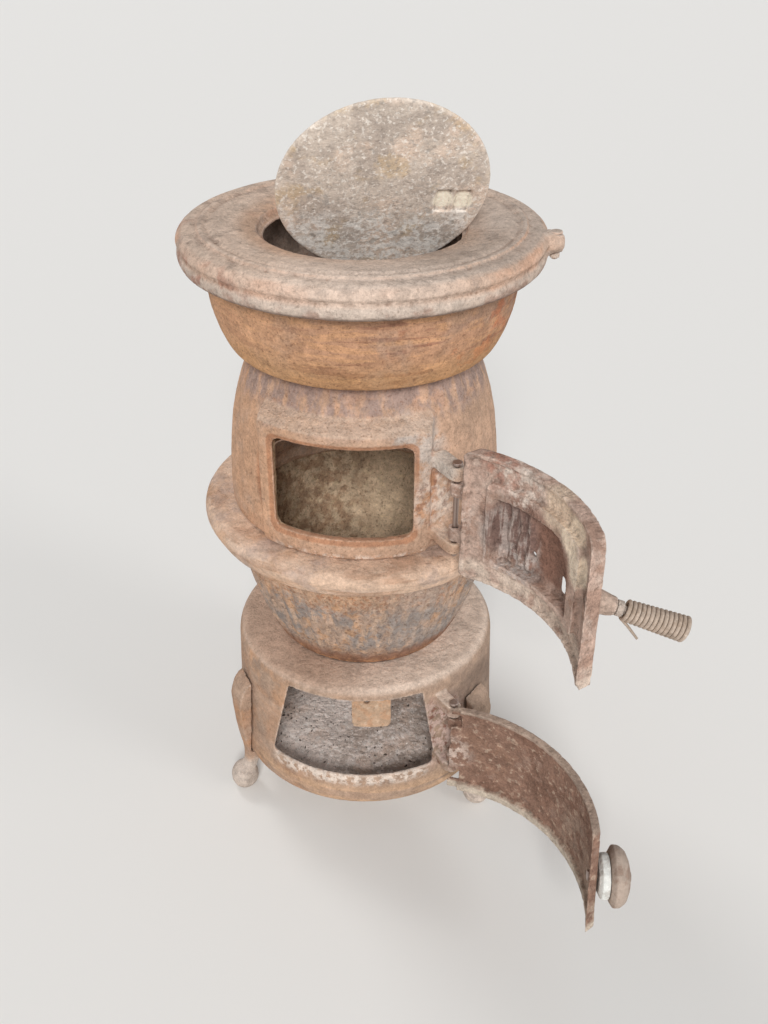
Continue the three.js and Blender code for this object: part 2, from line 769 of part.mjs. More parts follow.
// Ash door, drawn shut and swung open in the same way.
function ashDoor() {
  const { middle, sill, height } = ASH;
  const foot = sill - 14;
  const top = sill + height + 6;
  const skin = (add) =>
    baseSkin.slice(2, -2).map(([r, h]) => [r + add, Z_BASE + h]);
  const shellBand = (a, b) =>
    turned(
      [
        [BASE_R + a, Z_BASE],
        ...skin(a),
        [DECK_R + a, top + 8],
        [DECK_R + b, top + 8],
        ...skin(b).reverse(),
        [BASE_R + b, Z_BASE],
      ],
      { segments: 56 },
    );
  const shape = (grow, low) =>
    outline([
      [112 + grow, foot - grow + low, 4],
      [106 + grow, top + grow, 6],
      [-113 - grow, top + grow, 8],
      [-129 - grow, foot - grow + low, 6],
    ]);
  const whole = prism(shape(0, 0), middle, 40, 230);
  const plate = shellBand(6, 11).intersect(whole);
  const field = prism(shape(-6, 6), middle, 40, 230);
  const heel = prism(rounded(-9, 30, foot - 9, top + 9, 1), ASH.pinAt, BASE_R - 20, BASE_R + 5);
  const ridge = cut(shellBand(CLEAR, 7).intersect(whole), field, heel, ...lugNotches());
  const arms = doorKnuckles(ASH, 110, [
    [sill + 16 + CLEAR, sill + 34],
    [sill + height - 44, sill + height - 24 - CLEAR],
  ]);
  const bore = level(3 + GAP, ASH.pinAt, sill - 10, sill + height + 10, ASH.pinR);
  const stud = rod(3.5 + GAP, knobPoint(-20), knobPoint(20));
  return openAsh(cut(joined(cut(plate, ...lugNotches()), ridge, ...arms), bore, stud));
}

// Room in the shut door's edge for the drum's own hinge eyes.
function lugNotches() {
  return ASH_LUGS.map(([low, high]) => {
    const shape = rounded(-9 - CLEAR, 30, low - CLEAR, high + CLEAR, 1);
    return prism(shape, ASH.pinAt, BASE_R - 20, ASH.pinR + 20);
  });
}

const openAsh = (body) => swung(body, hingePin(ASH), ASH.open);
const KNOB_ACROSS = 112; // from the middle of the ash door to its knob
const KNOB = {
  at: ASH.middle - THREE.MathUtils.radToDeg(Math.asin(KNOB_ACROSS / (BASE_R + 7))),
  z: ASH.sill + 43,
  r: 31.5,
};

// A point on the knob's stud, out from the shut door's face.
function knobPoint(out) {
  return polar(lerp(baseSkin, KNOB.z - Z_BASE) + 11 + out, KNOB.at, KNOB.z);
}

function ashKnob() {
  const profile = [
    [3.5 + GAP, 12],
    [25, 12],
    [KNOB.r, 16],
    [KNOB.r - 0.5, 22],
    [KNOB.r - 5, 28],
    [KNOB.r - 14, 32],
    [3.5 + GAP, 33.5],
  ];
  return openAsh(onKnobAxis(profile, 24));
}

function onKnobAxis(profile, segments) {
  const geometry = new THREE.LatheGeometry(points([...profile, profile[0]]), segments);
  geometry.rotateZ(-Math.PI / 2);
  geometry.rotateZ(rad(KNOB.at));
  const start = knobPoint(0);
  geometry.translate(start.x, start.y, start.z);
  return solid(geometry);
}

function knobHub() {
  return openAsh(
    onKnobAxis(
      [
        [3.5 + GAP, 2.7 * GAP],
        [17, 2.7 * GAP],
        [23, 4],
        [24, 8],
        [23, 12 - GAP],
        [3.5 + GAP, 12 - GAP],
      ],
      18,
    ),
  );
}

function knobStud() {
  const stem = rod(3.5, knobPoint(-7), knobPoint(34));
  const head = rod(6, knobPoint(-9.5), knobPoint(-6 - GAP), 6);
  const cap = rod(6, knobPoint(33.5 + GAP), knobPoint(35), 16);
  return openAsh(joined(stem, head, cap));
}

// Hinge pins and the ear's bolt.
function pinOf(door, low, high) {
  const stem = level(3, door.pinAt, low, high + 2, door.pinR);
  const head = level(5.5, door.pinAt, high + GAP, high + 4, door.pinR);
  return joined(stem, head);
}

function earBolt() {
  const stem = level(EAR.bolt, EAR.at, Z_TOP - 20, Z_TOP + 7, EAR.r);
  const head = level(6.5, EAR.at, Z_TOP + 5 + GAP, Z_TOP + 8.5, EAR.r, 14);
  return joined(stem, head);
}

function earNut() {
  const nut = level(5.5, EAR.at, Z_TOP - 18, Z_TOP - 12 - GAP, EAR.r, 6);
  return cut(nut, level(EAR.bolt + GAP, EAR.at, Z_TOP - 30, Z_TOP, EAR.r));
}

// The stove.
const RUST = 0x8d6a55;
const DARK = 0x5c4a42;
const PALE = 0xa89888;
const STEEL = 0x8f8a85;

const stove = new THREE.Group();
stove.name = "pot_belly_stove";
stove.add(
  mesh("top_plate", topPlate(), RUST),
  mesh("lid", lid(), PALE),
  mesh("upper_bowl", upperBowl(), RUST),
  mesh("flue_collar", flueCollar(), DARK),
  mesh("flue_bolt_left", flueScrew(-1), STEEL),
  mesh("flue_bolt_right", flueScrew(1), STEEL),
  mesh("belly_shell", bellyShell(), RUST),
  mesh("waist_ring", waistRing(), RUST),
  mesh("fire_bowl", fireBowl(), DARK),
  mesh("grate", grate(), PALE),
  mesh("base_drum", baseDrum(), RUST),
  mesh("ash_floor", ashFloor(), PALE),
  mesh("leg_left", leg(LEGS[0]), PALE),
  mesh("leg_right", leg(LEGS[1]), PALE),
  mesh("leg_back", leg(LEGS[2]), PALE),
  mesh("leg_bolt_left", legBolt(LEGS[0]), STEEL),
  mesh("leg_bolt_right", legBolt(LEGS[1]), STEEL),
  mesh("leg_bolt_back", legBolt(LEGS[2]), STEEL),
  mesh("fire_door", fireDoor(), DARK),
  mesh("fire_hinge_pin", pinOf(FIRE, FIRE_LUGS[0][0] - 4, FIRE_LUGS[1][1]), STEEL),
  mesh("latch_spindle", latchSpindle(), STEEL),
  mesh("latch_washer", latchWasher(), STEEL),
  mesh("coil_grip", coilGrip(), PALE),
  mesh("ash_door", ashDoor(), DARK),
  mesh("ash_hinge_pin", pinOf(ASH, ASH_LUGS[0][0] - 4, ASH_LUGS[1][1]), STEEL),
  mesh("ash_knob", ashKnob(), RUST),
  mesh("knob_hub", knobHub(), PALE),
  mesh("knob_stud", knobStud(), STEEL),
  mesh("ear_bolt", earBolt(), RUST),
  mesh("ear_nut", earNut(), STEEL),
);

export default stove;
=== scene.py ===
"""Looks of a rusty cast-iron pot-belly stove that stands open, with its floor, light and camera.

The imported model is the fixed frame. Every casting that shows is cast again here at a finer
grain over its own solid, and each piece rides on the body of the solid that it stands for.
Shapes are written in millimetres and become metres when their mesh is made.
"""

import logging
import math
from dataclasses import dataclass, replace
from enum import Enum
from typing import Iterable, Sequence, Union

import bmesh
import bpy
import numpy as np
from mathutils import Matrix, Vector


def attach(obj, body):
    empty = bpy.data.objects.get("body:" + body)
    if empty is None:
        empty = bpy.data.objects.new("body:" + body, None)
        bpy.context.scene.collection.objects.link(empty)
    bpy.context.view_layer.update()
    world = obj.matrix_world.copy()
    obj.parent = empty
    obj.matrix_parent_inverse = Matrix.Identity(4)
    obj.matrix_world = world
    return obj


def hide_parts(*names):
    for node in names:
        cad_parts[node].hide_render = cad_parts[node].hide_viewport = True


logging.basicConfig(level=logging.INFO, format="%(message)s")
log = logging.getLogger("stove")

MM = 0.001
Colour = tuple[int, int, int]
Profile = list[tuple[float, float]]
Ends = tuple[float, float, float]
Socket = bpy.types.NodeSocket
Value = Union[float, Socket]


# Sizes that the castings share.


@dataclass(frozen=True)
class Door:
    """A door's opening, its pin and how far it stands open.

    Angles are directions round the stove's axis, in degrees.
    """

    middle: float
    sill: float
    height: float
    pin_r: float
    pin_at: float
    open_by: float

    @property
    def pin(self) -> Vector:
        """The pin's place on the floor plan."""
        return polar(self.pin_r, self.pin_at, 0.0)

    def opened(self, point: Vector) -> Vector:
        """A point of the shut door, where the open door has it."""
        return Matrix.Rotation(math.radians(self.open_by), 3, "Z") @ (point - self.pin) + self.pin


@dataclass(frozen=True)
class Sizes:
    """Driving sizes of the stove, the same as the solids have."""

    gap: float = 0.3
    wall: float = 6.0
    leg: float = 58.0
    base: float = 169.0
    pot: float = 146.0
    ring: float = 34.0
    belly: float = 184.0
    bowl: float = 112.0
    rise: float = 13.0
    rim_r: float = 186.0
    hole_r: float = 104.0
    ledge: float = 5.5
    bowl_top_r: float = 161.0
    bowl_foot_r: float = 137.0
    neck_r: float = 117.0
    belly_r: float = 149.0
    ring_r: float = 182.0
    pot_top_r: float = 150.0
    pot_foot_r: float = 104.0
    deck_r: float = 152.0
    base_r: float = 162.0
    frame_proud: float = 4.5

    @property
    def z_deck(self) -> float:
        """Top of the base drum."""
        return self.leg + self.base

    @property
    def z_pot(self) -> float:
        """Foot of the fire bowl."""
        return self.z_deck + self.gap

    @property
    def z_ring(self) -> float:
        """Underside of the waist ring."""
        return self.z_pot + self.pot

    @property
    def z_belly(self) -> float:
        """Foot of the belly."""
        return self.z_ring + self.ring + self.gap

    @property
    def z_bowl(self) -> float:
        """Foot of the upper bowl."""
        return self.z_belly + self.belly

    @property
    def z_top(self) -> float:
        """Underside of the top plate."""
        return self.z_bowl + self.bowl

    @property
    def z_rim(self) -> float:
        """Top of the top plate."""
        return self.z_top + self.rise


def polar(r: float, degrees: float, z: float) -> Vector:
    """A point at a radius, direction and height."""
    turn = math.radians(degrees)
    return Vector((r * math.cos(turn), r * math.sin(turn), z))


S = Sizes()
LUMP_SIZE = 45.0
PIT_SIZE = 9.0
EYE_R = 8.0
PIN_BORE = 3.3
LID_AT = (
    Matrix.Translation((19.5, -51.3, S.z_rim + 40))
    @ Matrix.Rotation(math.radians(7.4), 4, "Z")
    @ Matrix.Rotation(math.radians(116.3), 4, "X")
)
FIRE = Door(middle=-99.5, sill=S.z_belly + 23, height=104, pin_r=180.5, pin_at=-60, open_by=130)
ASH = Door(middle=-97.5, sill=S.leg + 44, height=112, pin_r=180.5, pin_at=-56.6, open_by=135.3)


# Node trees.


class Wiring:
    """Adds nodes to one tree and joins them."""

    def __init__(self, tree: bpy.types.NodeTree) -> None:
        """Takes the tree that the nodes go in."""
        self.tree = tree

    def add(self, kind: str, inputs: dict[Union[str, int], object] | None = None, **settings: object) -> bpy.types.Node:
        """Adds one node.

        Args:
            kind: The node's Blender type.
            inputs: Values or sockets by input name or number.
            settings: The node's own properties.

        Returns:
            The new node.
        """
        node = self.tree.nodes.new(kind)
        for name, value in settings.items():
            setattr(node, name, value)
        for key, value in (inputs or {}).items():
            if isinstance(value, Socket):
                self.tree.links.new(value, node.inputs[key])
            else:
                node.inputs[key].default_value = value
        return node

    def math(self, operation: str, a: Value, b: Value = 0.0) -> Socket:
        """The result of a sum on one or two numbers."""
        return self.add("ShaderNodeMath", {0: a, 1: b}, operation=operation).outputs[0]

    def vector(self, operation: str, a: object, b: object = (0.0, 0.0, 0.0)) -> Socket:
        """The vector result of a sum on one or two vectors."""
        return self.add("ShaderNodeVectorMath", {0: a, 1: b}, operation=operation).outputs["Vector"]

    def dot(self, a: object, b: object) -> Socket:
        """The dot product of two vectors."""
        return self.add("ShaderNodeVectorMath", {0: a, 1: b}, operation="DOT_PRODUCT").outputs["Value"]

    def scaled(self, a: object, by: Value) -> Socket:
        """A vector times a number."""
        node = self.add("ShaderNodeVectorMath", {0: a, "Scale": by}, operation="SCALE")
        return node.outputs["Vector"]

    def noise(self, place: Socket, size: Value, seed: Value, detail: float = 4.0, rough: float = 0.6) -> Socket:
        """Cloud noise from 0 to 1 whose clouds are `size` metres across."""
        scale = self.math("DIVIDE", 1.0, size) if isinstance(size, Socket) else 1.0 / size
        node = self.add(
            "ShaderNodeTexNoise",
            {"Vector": place, "W": seed, "Scale": scale, "Detail": detail, "Roughness": rough},
            noise_dimensions="4D",
        )
        return node.outputs[0]

    def ramp(self, value: Value, low: Value, high: Value, falling: bool = False) -> Socket:
        """A smooth step from 0 at low to 1 at high, or the other way round."""
        ends = (1.0, 0.0) if falling else (0.0, 1.0)
        node = self.add(
            "ShaderNodeMapRange",
            {"Value": value, "From Min": low, "From Max": high, "To Min": ends[0], "To Max": ends[1]},
            interpolation_type="SMOOTHSTEP",
        )
        return node.outputs[0]


# Finishes.


class Where(Enum):
    """What decides where a layer of colour lies."""

    CLOUDS = "irregular patches"
    RUNS = "streaks that run down"
    ROUNDS = "streaks that run round"
    TOPS = "what faces up"
    UNDERS = "what faces down"
    INSIDE = "the inner wall of a shell"
    WITHIN = "nearer the axis than a radius"
    ABOVE = "over a height"
    BELOW = "under a height"
    SIDE = "one side of the stove"
    FACING = "what faces one way"
    EDGES = "worn edges"
    # Hollows are darkened as grime and as painted shade in creases and corners.
    HOLLOWS = "corners that hold dirt"
    NEAR = "round one point"


@dataclass(frozen=True)
class Spot:
    """One rule for where a layer lies.

    Args:
        kind: The rule.
        low: The value at which the layer begins.
        high: The value at which it is full.
        size: How large its clouds or streaks are, in millimetres.
        seed: Which of the many noises it takes.
        at: A point in millimetres, or a direction, for the rules that need one.
    """

    kind: Where
    low: float = 0.45
    high: float = 0.6
    size: float = 40.0
    seed: float = 0.0
    at: tuple[float, float, float] = (0.0, 0.0, 0.0)


@dataclass(frozen=True)
class Layer:
    """A colour laid over what is below it, where all its spots hold."""

    colour: Colour
    spots: tuple[Spot, ...]
    strength: float = 1.0


def linear(colour: Colour) -> tuple[float, float, float, float]:
    """A colour written as it looks, from 0 to 255, as Blender's linear one."""
    return tuple(((c / 255 + 0.055) / 1.055) ** 2.4 for c in colour) + (1.0,)


@dataclass(frozen=True)
class Grain:
    """One noise of the mottle, and how much it counts.

    Args:
        size: How large its clouds are, in millimetres.
        seed: Which of the many noises it is.
        detail: How many finer noises lie on it.
        rough: How strong those are.
        weight: How much it lightens and darkens.
    """

    size: float
    seed: float
    detail: float
    rough: float
    weight: float


GRAINS = (Grain(2.6, 21.0, 6.0, 0.8, 1.7), Grain(12.0, 22.0, 7.0, 0.75, 1.5), Grain(60.0, 23.0, 5.0, 0.65, 0.6))
MOTTLE_MEAN = 1.9
SAND = 1.6
PITS = 7.0
PITTED = (0.25, 0.6)
INWARD = (-0.35, -0.1)
STRETCH = {
    Where.CLOUDS: (1.0, 1.0, 1.0),
    Where.RUNS: (1.0, 1.0, 0.14),
    Where.ROUNDS: (0.13, 0.13, 1.0),
}


class Painter:
    """Builds the nodes of one finish."""

    def __init__(self, material: bpy.types.Material) -> None:
        """Takes the material to paint and empties its tree."""
        material.use_nodes = True
        material.node_tree.nodes.clear()
        self.wires = Wiring(material.node_tree)
        coordinates = self.wires.add("ShaderNodeTexCoord")
        self.place: Socket = coordinates.outputs["Object"]
        self.normal: Socket = coordinates.outputs["Normal"]
        self.level: Socket = self.wires.vector("MULTIPLY", self.place, (1.0, 1.0, 0.0))

    def height(self) -> Socket:
        """The height of a point over the floor."""
        return self.wires.dot(self.place, (0.0, 0.0, 1.0))

    def frayed(self, spot: Spot) -> Socket:
        """A shift of up to a third of the spot's size, that frays its border."""
        noise = self.wires.noise(self.place, spot.size * MM, spot.seed + 7.3, detail=5.0, rough=0.65)
        return self.wires.math("MULTIPLY", self.wires.math("SUBTRACT", noise, 0.5), spot.size * MM)

    def share(self, spot: Spot) -> Socket:
        """How much of a layer a point has by one rule, from 0 to 1."""
        wires = self.wires
        if spot.kind in STRETCH:
            place = wires.vector("MULTIPLY", self.place, STRETCH[spot.kind])
            return wires.ramp(wires.noise(place, spot.size * MM, spot.seed), spot.low, spot.high)
        if spot.kind in (Where.TOPS, Where.UNDERS):
            facing = wires.dot(self.normal, (0.0, 0.0, 1.0 if spot.kind is Where.TOPS else -1.0))
            return wires.ramp(facing, spot.low, spot.high)
        if spot.kind is Where.INSIDE:
            outward = wires.dot(self.normal, wires.vector("NORMALIZE", self.level))
            return wires.ramp(outward, *INWARD, falling=True)
        if spot.kind is Where.WITHIN:
            radius = wires.add("ShaderNodeVectorMath", {0: self.level}, operation="LENGTH").outputs["Value"]
            return wires.ramp(radius, spot.low * MM, spot.high * MM, falling=True)
        if spot.kind in (Where.ABOVE, Where.BELOW):
            height = wires.math("ADD", self.height(), self.frayed(spot))
            low, high = sorted((spot.low * MM, spot.high * MM))
            return wires.ramp(height, low, high, falling=spot.kind is Where.BELOW)
        if spot.kind is Where.SIDE:
            return wires.ramp(wires.dot(wires.vector("NORMALIZE", self.level), spot.at), spot.low, spot.high)
        if spot.kind is Where.FACING:
            return wires.ramp(wires.dot(self.normal, spot.at), spot.low, spot.high)
        # Pointiness gives worn edges, and hollows darkened as grime and painted shade.
        if spot.kind in (Where.EDGES, Where.HOLLOWS):
            pointed = wires.add("ShaderNodeNewGeometry").outputs["Pointiness"]
            low, high = sorted((spot.low, spot.high))
            return wires.ramp(pointed, low, high, falling=spot.kind is Where.HOLLOWS)
        away = wires.vector("SUBTRACT", self.place, tuple(v * MM for v in spot.at))
        length = wires.add("ShaderNodeVectorMath", {0: away}, operation="LENGTH").outputs["Value"]
        distance = wires.math("ADD", length, self.frayed(spot))
        return wires.ramp(distance, spot.low * MM, spot.high * MM, falling=True)

    def coat(self, under: object, layer: Layer) -> Socket:
        """The colour with one more layer over it."""
        wires = self.wires
        factor: Value = layer.strength
        for spot in layer.spots:
            factor = wires.math("MULTIPLY", self.share(spot), factor)
        node = wires.add("ShaderNodeMix", {0: factor, 6: under, 7: linear(layer.colour)}, data_type="RGBA")
        return node.outputs[2]

    def mottled(self, colour: object, amount: float) -> Socket:
        """The colour, lighter and darker by fine grains and by blotches.

        Args:
            colour: The colour to vary.
            amount: How strongly, 1 for heavy rust.

        Returns:
            The varied colour.
        """
        wires = self.wires
        noises = [wires.noise(self.place, g.size * MM, g.seed, g.detail, g.rough) for g in GRAINS]
        parts = [wires.math("MULTIPLY", noise, g.weight) for noise, g in zip(noises, GRAINS)]
        total = wires.math("ADD", wires.math("ADD", parts[0], parts[1]), parts[2])
        lift = 1 - MOTTLE_MEAN * amount
        return wires.scaled(colour, wires.math("ADD", wires.math("MULTIPLY", total, amount), lift))

    def relief(self, grain: float, pits: float) -> Socket:
        """The surface's own roughness as bumps.

        Args:
            grain: Depth of the sandy grain, in millimetres.
            pits: Depth of the rust pits, in millimetres.

        Returns:
            The bumped normal.
        """
        wires = self.wires
        fine = wires.noise(self.place, SAND * MM, 3.0, detail=3.0, rough=0.7)
        pitted = wires.ramp(wires.noise(self.place, PITS * MM, 5.0, detail=5.0, rough=0.65), *PITTED)
        deep = wires.add("ShaderNodeBump", {"Strength": 1.0, "Distance": pits * MM, "Height": pitted})
        both = {"Strength": 1.0, "Distance": grain * MM, "Height": fine, "Normal": deep.outputs[0]}
        return wires.add("ShaderNodeBump", both).outputs[0]


@dataclass(frozen=True)
class Finish:
    """One finish of the stove: a ground colour and the layers of rust, dust and scale on it, with some painted shade
    and highlight.
    """

    name: str
    ground: Colour
    layers: tuple[Layer, ...] = ()
    grain: float = 0.8
    pits: float = 1.1
    dull: float = 0.9
    mottle: float = 0.8
    tint: tuple[float, float, float] = (1.0, 1.0, 1.0)

    def material(self) -> bpy.types.Material:
        """The finish as a material, made once."""
        made = bpy.data.materials.get(self.name)
        if made:
            return made
        made = bpy.data.materials.new(self.name)
        painter = Painter(made)
        colour: object = linear(self.ground)
        for layer in self.layers:
            colour = painter.coat(colour, layer)
        wires = painter.wires
        colour = wires.vector("MULTIPLY", painter.mottled(colour, self.mottle), self.tint)
        gloss = wires.noise(painter.place, 12 * MM, 9.0)
        rough = wires.math("ADD", self.dull - 0.08, wires.math("MULTIPLY", gloss, 0.16))
        shader = wires.add("ShaderNodeBsdfPrincipled", {"Roughness": rough})
        wires.tree.links.new(colour, shader.inputs["Base Color"])
        wires.tree.links.new(painter.relief(self.grain, self.pits), shader.inputs["Normal"])
        shader.inputs["Specular IOR Level"].default_value = 0.25
        wires.add("ShaderNodeOutputMaterial", {"Surface": shader.outputs[0]})
        return made


def clouds(size: float, low: float, high: float, seed: float = 0.0) -> Spot:
    """Irregular patches of a size."""
    return Spot(Where.CLOUDS, low, high, size, seed)


def runs(size: float, low: float, high: float, seed: float) -> Spot:
    """Streaks that run down."""
    return Spot(Where.RUNS, low, high, size, seed)


def rounds(size: float, low: float, high: float, seed: float) -> Spot:
    """Streaks that run round the stove."""
    return Spot(Where.ROUNDS, low, high, size, seed)


def above(low: float, high: float, fray: float = 40.0, seed: float = 0.0) -> Spot:
    """What is over a height, with a frayed border."""
    return Spot(Where.ABOVE, low, high, fray, seed)


def below(low: float, high: float, fray: float = 40.0, seed: float = 0.0) -> Spot:
    """What is under a height, with a frayed border."""
    return Spot(Where.BELOW, low, high, fray, seed)


def side(way: tuple[float, float, float], low: float, high: float) -> Spot:
    """The side of the stove that looks one way."""
    return Spot(Where.SIDE, low, high, at=way)


def tops(low: float, high: float) -> Spot:
    """What faces up."""
    return Spot(Where.TOPS, low, high)


def unders(low: float, high: float) -> Spot:
    """What faces down."""
    return Spot(Where.UNDERS, low, high)


def within(low: float, high: float) -> Spot:
    """What is nearer the axis than a radius."""
    return Spot(Where.WITHIN, low, high)


def facing(way: Vector, low: float, high: float) -> Spot:
    """What faces one way."""
    return Spot(Where.FACING, low, high, at=tuple(way))


def near(place: Vector, inner: float, outer: float, fray: float = 14.0, seed: float = 0.0) -> Spot:
    """What lies round one point, full up to the inner distance and gone at the outer."""
    return Spot(Where.NEAR, inner, outer, fray, seed, tuple(place))


def on_fire_door(across: float, up: float, r: float = 160.0) -> Vector:
    """A point of the open fire door, by its place on the shut one."""
    at = FIRE.middle + math.degrees(math.asin(across / r))
    return FIRE.opened(polar(r, at, up))


def on_ash_door(across: float, up: float, r: float = 168.0) -> Vector:
    """A point of the open ash door, by its place on the shut one."""
    at = ASH.middle + math.degrees(math.asin(across / r))
    return ASH.opened(polar(r, at, up))


WORN = Spot(Where.EDGES, 0.515, 0.56)
# Hollows: darker colour in creases and corners, part grime and part painted shade.
HOLLOW_GRIME_AND_SHADE = Spot(Where.HOLLOWS, 0.44, 0.49)
INNER = Spot(Where.INSIDE)
THROAT = within(146, 148)
HEART = polar(150, -99.5, 483)
LEFT = (-0.94, -0.34, 0.0)
LID_FACE = facing(LID_AT.to_3x3() @ Vector((0.0, 0.0, 1.0)), 0.0, 0.4)

RIM = Finish(
    "dusty_rim",
    (204, 176, 156),
    (
        Layer((214, 166, 136), (clouds(60, 0.46, 0.6, 1),), 0.6),
        Layer((216, 188, 168), (rounds(14, 0.46, 0.6, 2),), 0.6),
        Layer((160, 142, 130), (clouds(30, 0.52, 0.64, 3),), 0.55),
        Layer((206, 184, 166), (tops(0.7, 0.95),), 0.75),
        Layer((188, 148, 118), (tops(0.7, 0.95), within(112, 134)), 0.6),
        Layer((158, 138, 124), (tops(0.7, 0.95), clouds(24, 0.52, 0.62, 4)), 0.6),
        Layer((176, 164, 154), (tops(0.7, 0.95), side((0.8, -0.6, 0.0), 0.1, 0.9)), 0.5),
        # Painted highlight: the side of the rim that faces the front lamp is lighter.
        Layer((232, 212, 196), (side((-0.05, -1.0, 0.0), 0.8, 0.98),), 0.45),
        Layer((206, 190, 176), (below(692, 697, 5, 7),), 0.75),
        Layer((150, 104, 84), (below(688, 696, 9, 8), clouds(28, 0.5, 0.62, 9)), 0.5),
        Layer((150, 88, 66), (side(LEFT, 0.7, 0.95), below(700, 712), clouds(18, 0.48, 0.58, 5)), 0.6),
        # Painted shade: the rim's faces that point down are darker.
        Layer((110, 88, 76), (unders(0.2, 0.8),), 0.7),
        Layer((120, 84, 64), (HOLLOW_GRIME_AND_SHADE,), 0.7),
        Layer((226, 206, 192), (WORN,), 0.55),
        Layer((140, 116, 100), (clouds(3.4, 0.58, 0.66, 6),), 0.4),
    ),
    pits=1.3,
    mottle=0.75,
)
BOWL = Finish(
    "brushed_orange_rust",
    (190, 146, 116),
    (
        Layer((212, 162, 122), (rounds(7, 0.49, 0.57, 1),), 0.75),
        Layer((150, 106, 86), (rounds(10, 0.52, 0.6, 5),), 0.75),
        Layer((176, 146, 126), (clouds(50, 0.5, 0.62, 2),), 0.6),
        Layer((222, 172, 132), (side(LEFT, 0.5, 0.9),), 0.5),
        Layer((200, 116, 76), (clouds(36, 0.54, 0.64, 12), side((0.94, -0.34, 0.0), 0.2, 0.8)), 0.6),
        # Painted shadow of the rim: the bowl's top, just under the rim, is darker and greyer.
        Layer((134, 112, 104), (above(668, 692, 34, 3),), 0.8),
        Layer((196, 150, 100), (below(600, 640, 24, 4),), 0.5),
        Layer((140, 126, 116), (INNER,), 0.9),
        Layer((102, 88, 78), (INNER, clouds(18, 0.48, 0.58, 8)), 0.7),
        Layer((120, 90, 72), (HOLLOW_GRIME_AND_SHADE,), 0.5),
        Layer((214, 178, 150), (WORN,), 0.4),
        Layer((122, 84, 62), (clouds(3.2, 0.57, 0.64, 6),), 0.5),
    ),
    pits=1.3,
)
BELLY = Finish(
    "fluted_tan_rust",
    (204, 168, 142),
    (
        Layer((182, 152, 130), (clouds(50, 0.48, 0.62, 1),), 0.5),
        Layer((210, 160, 122), (side(LEFT, 0.45, 0.9), clouds(46, 0.38, 0.58, 2)), 0.5),
        Layer((160, 140, 134), (above(540, 560, 22, 8), runs(12, 0.38, 0.54, 3)), 0.75),
        Layer((210, 164, 132), (above(548, 560, 10, 8), below(574, 582), clouds(30, 0.5, 0.58, 13)), 0.5),
        Layer((136, 112, 104), (above(568, 588, 16, 9),), 0.5),
        Layer((204, 192, 182), (near(polar(150, -70, 530), 26, 50, 24, 4), clouds(18, 0.38, 0.52, 4)), 0.8),
        Layer((216, 190, 168), (tops(0.4, 0.8),), 0.7),
        Layer((180, 128, 96), (within(152.0, 153.0), near(HEART, 98, 106, 1), below(541, 544, 2)), 0.8),
        Layer((204, 148, 108), (near(polar(154, -72, 480), 18, 40, 18, 14), clouds(20, 0.4, 0.55, 15)), 0.7),
        Layer(
            (226, 210, 196),
            (below(410, 416, 7, 16), near(polar(156, -96, 408), 70, 96), clouds(7, 0.48, 0.56, 17)),
            0.85,
        ),
        Layer((222, 206, 192), (near(polar(160, -61, 470), 24, 46, 16, 22), clouds(16, 0.42, 0.56, 23)), 0.7),
        Layer((140, 100, 84), (near(polar(160, -61, 470), 24, 46, 16, 24), clouds(9, 0.52, 0.6, 25)), 0.5),
        Layer((178, 124, 92), (HOLLOW_GRIME_AND_SHADE,), 0.55),
        Layer((226, 200, 176), (WORN,), 0.5),
        Layer((210, 198, 186), (near(polar(168, -60, 517), 14, 24, 8, 21),), 0.85),
        Layer((214, 184, 150), (INNER, THROAT), 1.0),
        Layer(
            (146, 108, 80),
            (INNER, THROAT, side((-1.0, 0.2, 0.0), -0.1, 0.5), clouds(12, 0.4, 0.58, 11)),
            0.75,
        ),
        Layer((230, 204, 160), (INNER, THROAT, clouds(8, 0.53, 0.64, 12)), 0.3),
        Layer((128, 88, 64), (clouds(3.0, 0.58, 0.65, 6),), 0.45),
    ),
    pits=1.3,
)
RING = Finish(
    "tan_ring",
    (222, 190, 165),
    (
        Layer((188, 150, 124), (rounds(9, 0.5, 0.6, 1),), 0.7),
        Layer((224, 196, 174), (rounds(14, 0.52, 0.62, 2),), 0.65),
        Layer((180, 160, 150), (clouds(44, 0.5, 0.62, 3),), 0.55),
        Layer((196, 146, 104), (clouds(60, 0.54, 0.68, 8),), 0.4),
        # Painted shade: the ring's underside is darker.
        Layer((92, 72, 60), (unders(0.5, 0.95),), 0.55),
        Layer((112, 86, 70), (HOLLOW_GRIME_AND_SHADE,), 0.5),
        Layer((222, 198, 178), (WORN,), 0.4),
        Layer((150, 118, 96), (clouds(2.8, 0.62, 0.7, 6),), 0.35),
    ),
)
